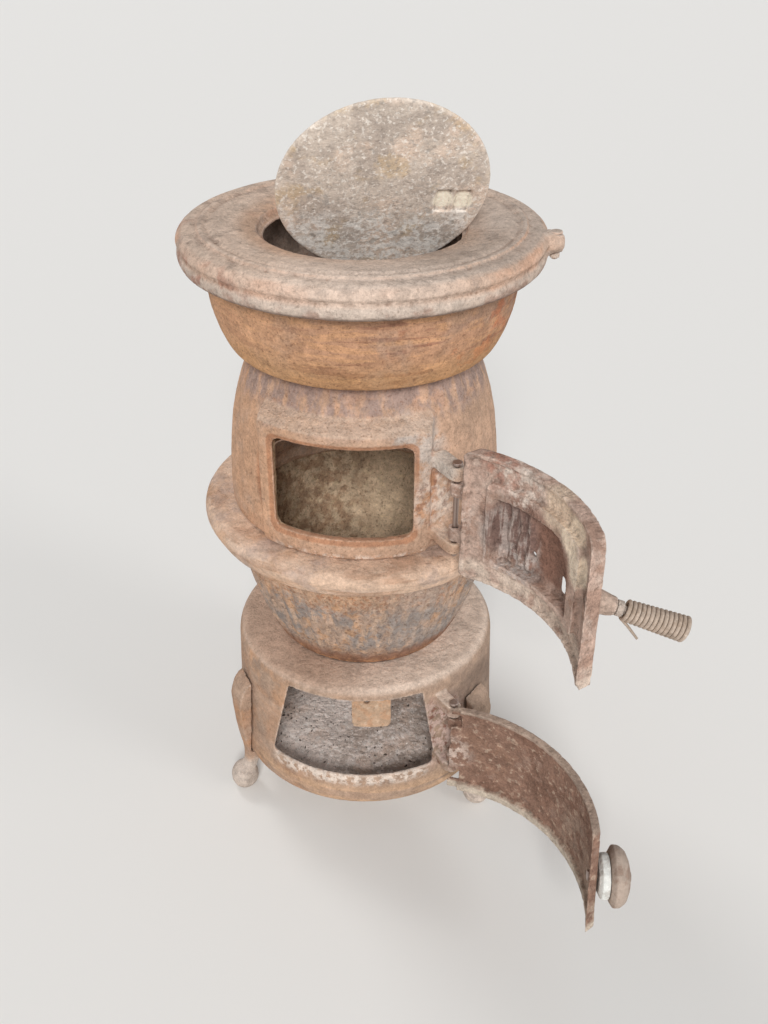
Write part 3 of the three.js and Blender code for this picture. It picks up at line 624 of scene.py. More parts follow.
POT = Finish(
    "streaked_fire_bowl",
    (184, 156, 136),
    (
        Layer((146, 138, 133), (clouds(34, 0.44, 0.56, 1), runs(13, 0.36, 0.5, 1)), 0.85),
        Layer((212, 178, 150), (runs(8, 0.52, 0.6, 2),), 0.6),
        Layer((204, 162, 128), (above(322, 350, 50, 3),), 0.65),
        Layer((168, 112, 76), (above(300, 350, 30, 7), clouds(5, 0.5, 0.58, 7)), 0.6),
        Layer((198, 150, 110), (clouds(20, 0.53, 0.62, 4),), 0.55),
        Layer((162, 150, 142), (side((0.8, -0.6, 0.0), 0.5, 0.9), clouds(30, 0.4, 0.54, 14)), 0.6),
        Layer((142, 100, 76), (below(242, 262, 30, 5),), 0.85),
        Layer((206, 156, 116), (below(232, 246, 16, 6), clouds(7, 0.46, 0.56, 4)), 0.8),
        Layer((82, 58, 46), (HOLLOW_GRIME_AND_SHADE,), 0.5),
        Layer((220, 190, 164), (WORN,), 0.45),
        Layer((210, 184, 154), (INNER,), 1.0),
        Layer((146, 110, 84), (INNER, side((-1.0, 0.2, 0.0), -0.1, 0.5), clouds(12, 0.4, 0.58, 11)), 0.7),
        Layer((226, 202, 162), (INNER, clouds(8, 0.53, 0.64, 12)), 0.3),
        Layer((100, 72, 54), (clouds(3.2, 0.56, 0.63, 9),), 0.5),
    ),
    pits=1.5,
    mottle=0.95,
)
BASE = Finish(
    "tan_drum",
    (180, 152, 131),
    (
        Layer((182, 142, 114), (side(LEFT, 0.1, 0.8), clouds(64, 0.4, 0.6, 1)), 0.7),
        Layer((190, 142, 104), (side(LEFT, 0.55, 0.95), clouds(40, 0.48, 0.62, 2)), 0.55),
        Layer((150, 130, 116), (clouds(50, 0.52, 0.66, 3),), 0.5),
        Layer((192, 166, 146), (rounds(24, 0.5, 0.64, 4),), 0.4),
        Layer((228, 206, 188), (tops(0.35, 0.85),), 0.9),
        Layer((196, 176, 160), (tops(0.35, 0.85), clouds(40, 0.48, 0.6, 12)), 0.6),
        Layer((184, 152, 130), (tops(0.35, 0.85), side(LEFT, 0.1, 0.8)), 0.8),
        Layer(
            (122, 104, 92),
            (side((0.86, -0.5, 0.0), 0.72, 0.95), below(198, 212), clouds(44, 0.4, 0.56, 5)),
            0.6,
        ),
        Layer((210, 172, 138), (below(74, 92, 14, 6), rounds(12, 0.42, 0.54, 7)), 0.65),
        Layer(
            (232, 216, 202),
            (
                below(101, 107, 5, 13),
                above(84, 94, 12, 14),
                near(polar(160, -98, 100), 88, 104),
                clouds(8, 0.44, 0.54, 15),
            ),
            0.85,
        ),
        Layer((206, 178, 166), (near(polar(166, -59, 150), 34, 62, 18, 16), clouds(12, 0.44, 0.54, 17)), 0.8),
        Layer((136, 88, 72), (near(polar(166, -59, 150), 34, 62, 18, 18), clouds(8, 0.53, 0.6, 19)), 0.75),
        Layer((190, 176, 166), (INNER, within(157, 158)), 1.0),
        Layer((110, 96, 86), (INNER, within(157, 158), clouds(9, 0.53, 0.61, 8)), 0.6),
        Layer((112, 86, 70), (HOLLOW_GRIME_AND_SHADE,), 0.55),
        Layer((220, 202, 186), (WORN,), 0.5),
        Layer((130, 100, 80), (clouds(3.0, 0.61, 0.69, 9),), 0.35),
    ),
)
LEG = replace(
    BASE,
    name="tan_leg",
    layers=(
        *BASE.layers[:4],
        *BASE.layers[-3:],
        Layer((204, 190, 178), (below(36, 56, 14, 2),), 0.85),
        Layer((168, 152, 140), (below(30, 40, 12, 3), clouds(8, 0.5, 0.62, 5)), 0.6),
    ),
)
ASHES = Finish(
    "grey_ash",
    (236, 220, 210),
    (
        Layer((208, 194, 186), (clouds(16, 0.46, 0.58, 1),), 0.6),
        Layer((246, 236, 228), (clouds(10, 0.52, 0.62, 2),), 0.6),
        Layer((150, 134, 122), (clouds(4.0, 0.58, 0.64, 3),), 0.7),
        Layer((176, 156, 142), (side((0.7, -0.7, 0.0), 0.0, 0.6), clouds(14, 0.42, 0.54, 6)), 0.7),
        Layer((220, 190, 170), (clouds(30, 0.52, 0.62, 4),), 0.4),
        Layer((252, 246, 240), (clouds(2.8, 0.58, 0.64, 5),), 0.7),
    ),
    grain=0.6,
    pits=1.2,
    dull=0.92,
    mottle=0.7,
    tint=(1.08, 1.08, 1.08),
)
LID = Finish(
    "speckled_lid",
    (204, 190, 178),
    (
        Layer((176, 162, 152), (clouds(40, 0.46, 0.58, 1),), 0.65),
        Layer((220, 196, 178), (clouds(50, 0.5, 0.62, 2),), 0.65),
        Layer((200, 174, 140), (clouds(34, 0.53, 0.63, 9),), 0.6),
        Layer((164, 150, 141), (clouds(5, 0.52, 0.62, 3),), 0.5),
        Layer((236, 228, 220), (clouds(3.6, 0.54, 0.62, 4),), 0.7),
        Layer((236, 230, 224), (below(724, 742, 20, 10), clouds(7, 0.46, 0.56, 11)), 0.7),
        Layer((150, 144, 139), (clouds(12, 0.58, 0.66, 5),), 0.5),
        Layer((250, 240, 222), (near(LID_AT @ Vector((77, -17, -3)), 8, 12, 4, 12), LID_FACE), 0.95),
        Layer((250, 240, 222), (near(LID_AT @ Vector((58, -15, -3)), 8, 12, 4, 13), LID_FACE), 0.95),
        Layer((84, 70, 60), (HOLLOW_GRIME_AND_SHADE,), 0.6),
        Layer((226, 212, 198), (WORN,), 0.5),
    ),
    grain=0.35,
    pits=0.6,
    mottle=0.6,
    tint=(1.12, 1.12, 1.1),
)
DOOR_INSIDE = Finish(
    "fire_door_scale",
    (196, 168, 152),
    (
        Layer((166, 132, 114), (clouds(26, 0.46, 0.58, 1),), 0.7),
        Layer((214, 190, 174), (clouds(14, 0.54, 0.64, 3),), 0.65),
        Layer((142, 108, 94), (near(on_fire_door(24, 484), 34, 52, 16, 1),), 0.85),
        Layer((140, 104, 88), (near(on_fire_door(-16, 482), 30, 44, 14, 2),), 0.9),
        Layer((126, 102, 94), (near(on_fire_door(46, 480), 24, 38, 14, 3),), 0.8),
        Layer((206, 190, 180), (near(on_fire_door(46, 470), 28, 40, 14, 13), runs(9, 0.5, 0.58, 3)), 0.6),
        Layer((196, 184, 176), (near(on_fire_door(34, 446), 14, 32, 18, 4), clouds(10, 0.42, 0.56, 5)), 0.8),
        Layer((248, 228, 202), (near(on_fire_door(-46, 528, 157), 14, 24, 12, 5),), 0.85),
        Layer((248, 230, 206), (near(on_fire_door(-62, 506, 157), 12, 22, 12, 6),), 0.85),
        Layer((236, 212, 186), (near(on_fire_door(-14, 538, 157), 14, 26, 14, 7),), 0.75),
        Layer(
            (232, 216, 202),
            (near(on_fire_door(34, 540, 157), 16, 34, 16, 8), clouds(10, 0.42, 0.56, 6)),
            0.85,
        ),
        Layer((226, 206, 188), (below(426, 438, 16, 9), clouds(20, 0.38, 0.54, 7)), 0.8),
        Layer((186, 128, 108), (near(on_fire_door(58, 548), 10, 34, 18, 10), clouds(9, 0.46, 0.6, 8)), 0.6),
        Layer((190, 168, 152), (near(FIRE.opened(polar(180, -130.5, 484)), 13, 18, 6, 11),), 0.8),
        Layer(
            (224, 204, 190),
            (near(FIRE.opened(polar(180, -61, 480)), 16, 40, 14, 14), clouds(8, 0.46, 0.56, 15)),
            0.8,
        ),
        Layer((66, 50, 43), (HOLLOW_GRIME_AND_SHADE,), 0.55),
        Layer((226, 206, 190), (WORN,), 0.6),
    ),
    pits=1.8,
    mottle=1.0,
)
ASH_DOOR = Finish(
    "ash_door_rust",
    (146, 114, 97),
    (
        Layer((128, 96, 80), (clouds(30, 0.46, 0.6, 1),), 0.7),
        Layer((166, 138, 122), (clouds(14, 0.54, 0.66, 3),), 0.6),
        Layer((164, 128, 106), (near(on_ash_door(70, 160), 20, 52, 24, 2), clouds(22, 0.44, 0.58, 4)), 0.4),
        Layer((190, 168, 148), (clouds(7, 0.56, 0.65, 5),), 0.6),
        Layer(
            (176, 152, 134),
            (near(on_ash_door(-70, 128), 20, 62, 20, 14), clouds(16, 0.38, 0.54, 15)),
            0.6,
        ),
        Layer(
            (214, 192, 178),
            (near(on_ash_door(112, 150, 172), 14, 34, 14, 12), clouds(9, 0.44, 0.56, 13)),
            0.8,
        ),
        Layer((176, 156, 140), (above(211, 217, 6, 6),), 0.75),
        Layer((206, 192, 174), (below(97, 102, 9, 7),), 0.85),
        Layer((184, 164, 146), (near(on_ash_door(-112, 104), 16, 40, 16, 8), clouds(9, 0.4, 0.56, 9)), 0.8),
        Layer((76, 58, 48), (HOLLOW_GRIME_AND_SHADE,), 0.55),
        Layer((196, 176, 160), (WORN,), 0.5),
    ),
    pits=1.6,
    mottle=1.0,
)
SCALE = Finish(
    "dark_scale",
    (150, 122, 106),
    (
        Layer((122, 92, 78), (clouds(34, 0.46, 0.58, 1),), 0.7),
        Layer((168, 144, 128), (clouds(18, 0.54, 0.66, 3),), 0.6),
        Layer((74, 58, 50), (HOLLOW_GRIME_AND_SHADE,), 0.5),
        Layer((196, 176, 160), (WORN,), 0.6),
    ),
    pits=1.2,
)
KNOB = Finish(
    "worn_knob",
    (176, 158, 144),
    (
        Layer((138, 112, 96), (clouds(14, 0.5, 0.64, 1),), 0.6),
        Layer((182, 166, 152), (clouds(9, 0.54, 0.66, 2),), 0.5),
        Layer((110, 88, 74), (HOLLOW_GRIME_AND_SHADE,), 0.6),
    ),
    grain=0.4,
    pits=0.5,
    mottle=0.5,
)
HUB = Finish(
    "silvery_hub",
    (226, 226, 220),
    (
        Layer((186, 180, 172), (clouds(8, 0.5, 0.62, 1),), 0.6),
        Layer((244, 244, 240), (clouds(6, 0.54, 0.64, 2),), 0.5),
        Layer((120, 108, 98), (HOLLOW_GRIME_AND_SHADE,), 0.5),
    ),
    grain=0.3,
    pits=0.4,
    dull=0.72,
    mottle=0.5,
)
PALE = Finish(
    "pale_dusty_iron",
    (190, 174, 161),
    (
        Layer((166, 144, 126), (clouds(18, 0.48, 0.62, 1),), 0.6),
        Layer((210, 198, 186), (clouds(9, 0.53, 0.64, 2),), 0.6),
        Layer((126, 102, 84), (HOLLOW_GRIME_AND_SHADE,), 0.7),
        Layer((150, 118, 94), (clouds(5, 0.6, 0.68, 4),), 0.5),
        Layer((222, 210, 198), (WORN,), 0.4),
    ),
)
TAB = replace(
    PALE,
    name="tan_grate",
    ground=(186, 156, 130),
    layers=(
        Layer((196, 144, 106), (clouds(9, 0.48, 0.6, 1),), 0.4),
        Layer((214, 190, 166), (clouds(9, 0.54, 0.64, 2),), 0.5),
        Layer((120, 92, 74), (HOLLOW_GRIME_AND_SHADE,), 0.7),
        Layer((222, 190, 160), (WORN,), 0.6),
    ),
)
STEEL = Finish(
    "rusted_steel",
    (138, 110, 92),
    (
        Layer((112, 82, 66), (clouds(8, 0.46, 0.58, 1),), 0.7),
        Layer((172, 148, 130), (clouds(6, 0.54, 0.64, 2),), 0.6),
        Layer((72, 54, 44), (HOLLOW_GRIME_AND_SHADE,), 0.6),
        Layer((190, 168, 150), (WORN,), 0.5),
    ),
    grain=0.2,
    pits=0.3,
)
WIRE = Finish(
    "pale_wire",
    (182, 164, 148),
    (
        Layer((156, 136, 118), (clouds(8, 0.48, 0.6, 1),), 0.6),
        Layer((112, 90, 74), (HOLLOW_GRIME_AND_SHADE,), 0.8),
        Layer((206, 192, 178), (clouds(5, 0.56, 0.66, 2),), 0.5),
    ),
    grain=0.15,
    pits=0.15,
    dull=0.8,
)

CINDER = Finish(
    "black_cinder",
    (98, 86, 78),
    (Layer((128, 114, 104), (clouds(6, 0.45, 0.6, 1),), 0.6),),
)


# Meshes.


def link(obj: bpy.types.Object) -> bpy.types.Object:
    """Puts an object in the scene."""
    bpy.context.scene.collection.objects.link(obj)
    return obj


def from_bmesh(name: str, built: bmesh.types.BMesh) -> bpy.types.Object:
    """A new object of a bmesh in metres, smooth shaded, with its normals outward."""
    bmesh.ops.remove_doubles(built, verts=built.verts, dist=1e-6)
    bmesh.ops.dissolve_degenerate(built, edges=built.edges, dist=1e-7)
    bmesh.ops.recalc_face_normals(built, faces=built.faces)
    mesh = bpy.data.meshes.new(name)
    built.to_mesh(mesh)
    built.free()
    return link(bpy.data.objects.new(name, mesh))


def from_grid(name: str, rows: np.ndarray, wrap: bool) -> bpy.types.Object:
    """A skin over a grid of points, closed in both directions.

    Args:
        name: The object's name.
        rows: Points as [row][column][xyz], in millimetres.
        wrap: Whether the last row joins the first; else each end is closed by a face.

    Returns:
        The new object.
    """
    built = bmesh.new()
    grid = [[built.verts.new(point * MM) for point in row] for row in rows]
    across = len(grid[0])
    for i in range(len(grid) if wrap else len(grid) - 1):
        a, b = grid[i], grid[(i + 1) % len(grid)]
        for j in range(across):
            k = (j + 1) % across
            built.faces.new((a[j], a[k], b[k], b[j]))
    if not wrap:
        built.faces.new(grid[0])
        built.faces.new(grid[-1])
    return from_bmesh(name, built)


def eased(profile: Profile, step: float = 2.0, passes: int = 3) -> np.ndarray:
    """A closed profile with its corners eased, as a casting has them.

    Args:
        profile: Corners [radius, height] in millimetres.
        step: Longest distance between two points of the result.
        passes: How often each point moves towards its neighbours.

    Returns:
        The eased points; those on the axis stay on it.
    """
    dense = []
    for (r0, z0), (r1, z1) in zip(profile, profile[1:] + profile[:1]):
        count = max(1, math.ceil(math.hypot(r1 - r0, z1 - z0) / step))
        dense += [(r0 + (r1 - r0) * i / count, z0 + (z1 - z0) * i / count) for i in range(count)]
    points = np.array(dense, float)
    on_axis = points[:, 0] < 1e-6
    for _ in range(passes):
        points = (np.roll(points, 1, 0) + 2 * points + np.roll(points, -1, 0)) / 4
        points[on_axis, 0] = 0.0
    return points


def spun(name: str, profile: np.ndarray, segments: int = 216) -> bpy.types.Object:
    """A closed profile spun about the stove's axis."""
    turns = np.linspace(0, 2 * math.pi, segments, endpoint=False)
    r, z = profile[:, 0], profile[:, 1]
    rows = np.stack(
        [np.stack([r * math.cos(t), r * math.sin(t), z], axis=1) for t in turns],
    )
    return from_grid(name, rows, wrap=True)


def prism(
    name: str, corners: Sequence[tuple[float, float]], direction: float, start: float, end: float
) -> bpy.types.Object:
    """A flat outline pushed out along a level direction.

    Args:
        name: The object's name.
        corners: Points [across, up] in millimetres.
        direction: The way out from the axis, in degrees.
        start: Where it begins, from the axis.
        end: Where it ends.

    Returns:
        The new object.
    """
    out = polar(1, direction, 0)
    side = polar(1, direction + 90, 0)
    rows = [[side * x + out * d + Vector((0, 0, z)) for x, z in corners] for d in (start, end)]
    return from_grid(name, np.array(rows), wrap=False)


def rounded(x0: float, x1: float, z0: float, z1: float, r: float, steps: int = 6) -> list[tuple[float, float]]:
    """Corners of a rounded rectangle."""
    centres = ((x1 - r, z0 + r, -90), (x1 - r, z1 - r, 0), (x0 + r, z1 - r, 90), (x0 + r, z0 + r, 180))
    return [
        (x + r * math.cos(math.radians(start + 90 * i / steps)), z + r * math.sin(math.radians(start + 90 * i / steps)))
        for x, z, start in centres
        for i in range(steps + 1)
    ]


def oval(a: float, b: float, z: float, steps: int = 48) -> list[tuple[float, float]]:
    """Points of an upright oval."""
    turns = (2 * math.pi * i / steps for i in range(steps))
    return [(a * math.cos(t), z + b * math.sin(t)) for t in turns]


def tube(name: str, path: Sequence[Vector], radii: Sequence[float], sides: int = 20) -> bpy.types.Object:
    """A round bar along a path of points, with its own radius at each."""
    rows = []
    for i, point in enumerate(path):
        ahead = path[min(i + 1, len(path) - 1)] - path[max(i - 1, 0)]
        turn = Vector((0, 0, 1)).rotation_difference(ahead.normalized())
        ring = (2 * math.pi * j / sides for j in range(sides))
        rows.append([point + turn @ (Vector((math.cos(t), math.sin(t), 0)) * radii[i]) for t in ring])
    return from_grid(name, np.array(rows), wrap=False)


def rod(name: str, r: float, start: Vector, end: Vector, sides: int = 24) -> bpy.types.Object:
    """A straight round bar."""
    return tube(name, [start, end], [r, r], sides)


def baked(obj: bpy.types.Object) -> bpy.types.Object:
    """Turns an object's modifiers into its mesh."""
    graph = bpy.context.evaluated_depsgraph_get()
    graph.update()
    made = bpy.data.meshes.new_from_object(obj.evaluated_get(graph), preserve_all_data_layers=True, depsgraph=graph)
    obj.modifiers.clear()
    obj.data = made
    return obj


def carve(obj: bpy.types.Object, *tools: bpy.types.Object, keep: bool = False) -> bpy.types.Object:
    """Cuts tools out of an object, or keeps only what lies inside them.

    Args:
        obj: The solid to cut.
        tools: The cutting solids, which are used up.
        keep: Whether the part inside the tools stays instead.

    Returns:
        The cut object.
    """
    for tool in tools:
        cut = obj.modifiers.new("cut", "BOOLEAN")
        cut.operation = "INTERSECT" if keep else "DIFFERENCE"
        cut.solver = "EXACT"
        cut.object = tool
        baked(obj)
        bpy.data.objects.remove(tool)
    return obj


def together(name: str, parts: Iterable[bpy.types.Object]) -> bpy.types.Object:
    """Several solids in one mesh. They may overlap, because the next remesh joins them."""
    built = bmesh.new()
    for part in parts:
        built.from_mesh(part.data)
        bpy.data.objects.remove(part)
    mesh = bpy.data.meshes.new(name)
    built.to_mesh(mesh)
    built.free()
    return link(bpy.data.objects.new(name, mesh))


def fluted(shell: bpy.types.Object, finish: "Finish", flutes: float, depth: float, ends: Ends) -> bpy.types.Object:
    """Hollows flutes into a shell, between two heights and fading towards both.

    Args:
        shell: The spun shell.
        finish: Its finish.
        flutes: How many there are.
        depth: How deep they are, in millimetres.
        ends: Lowest height, highest height and how long they fade.

    Returns:
        The fluted shell.
    """
    low, high, fade = (v * MM for v in ends)
    sizes = {"Flutes": flutes, "Depth": depth * MM, "Low": low, "High": high, "Fade": fade}
    return FLUTES.apply(shell, Material=finish.material(), **sizes)


def worn(
    piece: bpy.types.Object, finish: "Finish", lumps: tuple[float, float], pits: tuple[float, float], seed: float
) -> bpy.types.Object:
    """Wears a casting's skin in.

    Args:
        piece: The casting.
        finish: Its finish.
        lumps: Size and depth of its lumps, in millimetres.
        pits: Size and depth of its pits, in millimetres.
        seed: Which of the many noises it takes.

    Returns:
        The worn casting.
    """
    sizes = zip(("Lump size", "Lump depth", "Pit size", "Pit depth"), (*lumps, *pits))
    return CAST.apply(piece, **{n: v * MM for n, v in sizes}, Seed=seed, Material=finish.material())


def hinge_eyes(door: Door, lugs: Sequence[tuple[float, float]], root_r: float) -> list[bpy.types.Object]:
    """A door's eyes on their stand-off roots, drilled for the pin.

    Args:
        door: The door whose pin they hold.
        lugs: Foot and top of each eye, over the door's sill.
        root_r: Where the roots begin, from the axis.

    Returns:
        Eyes and roots, which overlap.
    """
    made = []
    for low, high in lugs:
        z0, z1 = door.sill + low, door.sill + high
        eye = rod("eye", EYE_R, *(polar(door.pin_r, door.pin_at, z) for z in (z0, z1)))
        root = prism("root", rounded(-EYE_R - 1, EYE_R + 1, z0, z1, 2), door.pin_at, root_r, door.pin_r)
        for part in (eye, root):
            bore = rod("bore", PIN_BORE, *(polar(door.pin_r, door.pin_at, z) for z in (z0 - 4, z1 + 4)))
            made.append(carve(part, bore))
    return made


def copy_of(name: str, node: str) -> bpy.types.Object:
    """A merged copy of a CAD node's solid."""
    built = bmesh.new()
    built.from_mesh(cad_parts[node].data)
    return from_bmesh(name, built)


# Geometry Nodes.


class GeometryTree:
    """A node tree with named inputs that one modifier applies."""

    def __init__(self, name: str, inputs: dict[str, str]) -> None:
        """Makes an empty tree.

        Args:
            name: The tree's name.
            inputs: Socket types by input name.
        """
        self.tree = bpy.data.node_groups.new(name, "GeometryNodeTree")
        face = self.tree.interface
        face.new_socket("Geometry", in_out="INPUT", socket_type="NodeSocketGeometry")
        self.sockets = {n: face.new_socket(n, in_out="INPUT", socket_type=k) for n, k in inputs.items()}
        face.new_socket("Geometry", in_out="OUTPUT", socket_type="NodeSocketGeometry")
        self.wires = Wiring(self.tree)
        self.given = self.wires.add("NodeGroupInput").outputs

    def end(self, geometry: Socket) -> None:
        """Realizes what the tree has made, gives it the material and ends the tree."""
        whole = self.wires.add("GeometryNodeRealizeInstances", {0: geometry})
        coloured = self.wires.add("GeometryNodeSetMaterial", {0: whole.outputs[0], "Material": self.given["Material"]})
        self.wires.add("NodeGroupOutput", {0: coloured.outputs[0]})

    def apply(self, obj: bpy.types.Object, **values: object) -> bpy.types.Object:
        """Runs the tree on an object and bakes the result."""
        modifier = obj.modifiers.new(self.tree.name, "NODES")
        modifier.node_group = self.tree
        for name, value in values.items():
            modifier[self.sockets[name].identifier] = value
        return baked(obj)


def flute_tree() -> GeometryTree:
    """A tree that hollows flutes into the outer wall of a spun shell."""
    kinds = {n: "NodeSocketFloat" for n in ("Flutes", "Depth", "Low", "High", "Fade")}
    made = GeometryTree("flutes", {**kinds, "Material": "NodeSocketMaterial"})
    wires, given = made.wires, made.given
    place = wires.add("GeometryNodeInputPosition").outputs[0]
    normal = wires.add("GeometryNodeInputNormal").outputs[0]
    parts = wires.add("ShaderNodeSeparateXYZ", {0: place}).outputs
    turn = wires.math("ARCTAN2", parts[1], parts[0])
    wave = wires.math("COSINE", wires.math("MULTIPLY", turn, given["Flutes"]))
    hollow = wires.math("POWER", wires.math("MULTIPLY", wires.math("SUBTRACT", 1.0, wave), 0.5), 0.7)
    outward = wires.vector("NORMALIZE", wires.vector("MULTIPLY", place, (1.0, 1.0, 0.0)))
    outer = wires.ramp(wires.dot(normal, outward), 0.2, 0.5)
    from_low = wires.ramp(parts[2], given["Low"], wires.math("ADD", given["Low"], given["Fade"]))
    from_high = wires.ramp(parts[2], wires.math("SUBTRACT", given["High"], given["Fade"]), given["High"], True)
    depth = wires.math("MULTIPLY", given["Depth"], hollow)
    for mask in (outer, from_low, from_high):
        depth = wires.math("MULTIPLY", depth, mask)
    offset = wires.scaled(outward, wires.math("MULTIPLY", depth, -1.0))
    moved = wires.add("GeometryNodeSetPosition", {"Geometry": given["Geometry"], "Offset": offset})
    made.end(moved.outputs[0])
    return made


def cast_tree() -> GeometryTree:
    """A tree that wears a casting's skin in by lumps and pits, never out."""
    kinds = {n: "NodeSocketFloat" for n in ("Lump size", "Lump depth", "Pit size", "Pit depth", "Seed")}
    made = GeometryTree("cast_skin", {**kinds, "Material": "NodeSocketMaterial"})
    wires, given = made.wires, made.given
    place = wires.add("GeometryNodeInputPosition").outputs[0]
    normal = wires.add("GeometryNodeInputNormal").outputs[0]
    lumps = wires.noise(place, given["Lump size"], given["Seed"], detail=2.0, rough=0.5)
    pits = wires.ramp(wires.noise(place, given["Pit size"], given["Seed"], detail=3.0), 0.5, 0.68)
    depth = wires.math(
        "ADD",
        wires.math("MULTIPLY", lumps, given["Lump depth"]),
        wires.math("MULTIPLY", pits, given["Pit depth"]),
    )
    offset = wires.scaled(normal, wires.math("MULTIPLY", depth, -1.0))
    moved = wires.add("GeometryNodeSetPosition", {"Geometry": given["Geometry"], "Offset": offset})
    made.end(moved.outputs[0])
    return made


def coil_tree() -> GeometryTree:
    """A tree that winds a wire into a close coil along Z."""
    kinds = {n: "NodeSocketFloat" for n in ("Turns", "Radius", "Far radius", "Length", "Wire")}
    made = GeometryTree("coil", {**kinds, "Material": "NodeSocketMaterial"})
    wires, given = made.wires, made.given
    line = wires.add(
        "GeometryNodeCurveSpiral",
        {
            "Resolution": 40,
            "Rotations": given["Turns"],
            "Start Radius": given["Radius"],
            "End Radius": given["Far radius"],
            "Height": given["Length"],
        },
    )
    ring = wires.add("GeometryNodeCurvePrimitiveCircle", {"Resolution": 12, "Radius": given["Wire"]})
    wound = wires.add(
        "GeometryNodeCurveToMesh",
        {"Curve": line.outputs[0], "Profile Curve": ring.outputs[0], "Fill Caps": True},
    )
    made.end(wound.outputs[0])
    return made


def crumb_tree() -> GeometryTree:
    """A tree that scatters crumbs of cinder over the faces of a bed that face up."""
    kinds = {n: "NodeSocketFloat" for n in ("Density", "Crumb size")}
    made = GeometryTree("crumbs", {**kinds, "Seed": "NodeSocketInt", "Material": "NodeSocketMaterial"})
    wires, given = made.wires, made.given
    normal = wires.add("GeometryNodeInputNormal").outputs[0]
    upward = wires.add(
        "FunctionNodeCompare",
        {0: wires.dot(normal, (0.0, 0.0, 1.0)), 1: 0.7},
        operation="GREATER_THAN",
    ).outputs[0]
    spread = wires.add(
        "GeometryNodeDistributePointsOnFaces",
        {"Mesh": given["Geometry"], "Selection": upward, "Density": given["Density"], "Seed": given["Seed"]},
    )
    crumb = wires.add("GeometryNodeMeshIcoSphere", {"Radius": given["Crumb size"], "Subdivisions": 2})
    spin = wires.add("FunctionNodeRandomValue", {1: (6.3, 6.3, 6.3), "Seed": 3}, data_type="FLOAT_VECTOR")
    size = wires.add(
        "FunctionNodeRandomValue",
        {0: (0.35, 0.3, 0.15), 1: (1.5, 1.1, 0.6), "Seed": 5},
        data_type="FLOAT_VECTOR",
    )
    strewn = wires.add(
        "GeometryNodeInstanceOnPoints",
        {
            "Points": spread.outputs[0],
            "Instance": crumb.outputs[0],
            "Rotation": spin.outputs[0],
            "Scale": size.outputs[0],
        },
    )
    made.end(strewn.outputs[0])
    return made


# Pieces.


@dataclass
class Casting:
    """What every cast piece has: the solid it stands for, its grain and its finish.

    Args:
        node: The CAD node that the piece replaces.
        body: The body that it rides on.
        slot: A material slot's name, which is not used.
        finish: Its finish.
        grain: Edge of one remeshed face, in millimetres.
        ease: How often its skin is smoothed.
        lump: Depth of the casting's slow unevenness, in millimetres.
        pit: Depth of its pits, in millimetres.
        kept: Share of the remeshed triangles that stay.
    """

    node: str
    body: str = "stove"
    slot: str = "rusted_casting"
    finish: Finish = BELLY
    grain: float = 2.0
    ease: int = 4
    lump: float = 0.6
    pit: float = 0.35
    kept: float = 0.48

    def solid(self) -> bpy.types.Object:
        """The piece before it is cast: a merged copy of the node's own solid."""
        return copy_of(f"{self.node}_casting", self.node)

    def build(self) -> bpy.types.Object:
        """Casts the piece, gives it its finish and its body.

        Returns:
            The finished piece.
        """
        piece = self.solid()
        piece.name = f"{self.node}_casting"
        remesh = piece.modifiers.new("remesh", "REMESH")
        remesh.mode = "VOXEL"
        remesh.voxel_size = self.grain * MM
        smooth = piece.modifiers.new("ease", "SMOOTH")
        smooth.factor = 0.5
        smooth.iterations = self.ease
        baked(piece)
        worn(piece, self.finish, (LUMP_SIZE, self.lump), (PIT_SIZE, self.pit), float(len(self.node)))
        thin = piece.modifiers.new("thin", "DECIMATE")
        thin.ratio = self.kept
        baked(piece)
        return dress(piece, self.finish, self.body, self.slot, self.node)


def dress(piece: bpy.types.Object, finish: Finish, body: str, slot: str, *nodes: str) -> bpy.types.Object:
    """Gives a finished mesh its material and body, and hides the nodes it stands for."""
    piece.data.materials.clear()
    piece.data.materials.append(finish.material())
    piece.data.shade_smooth()
    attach(piece, body)
    if nodes:
        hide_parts(*nodes)
    log.info("%s: %d faces on %s", piece.name, len(piece.data.polygons), body)
    return piece


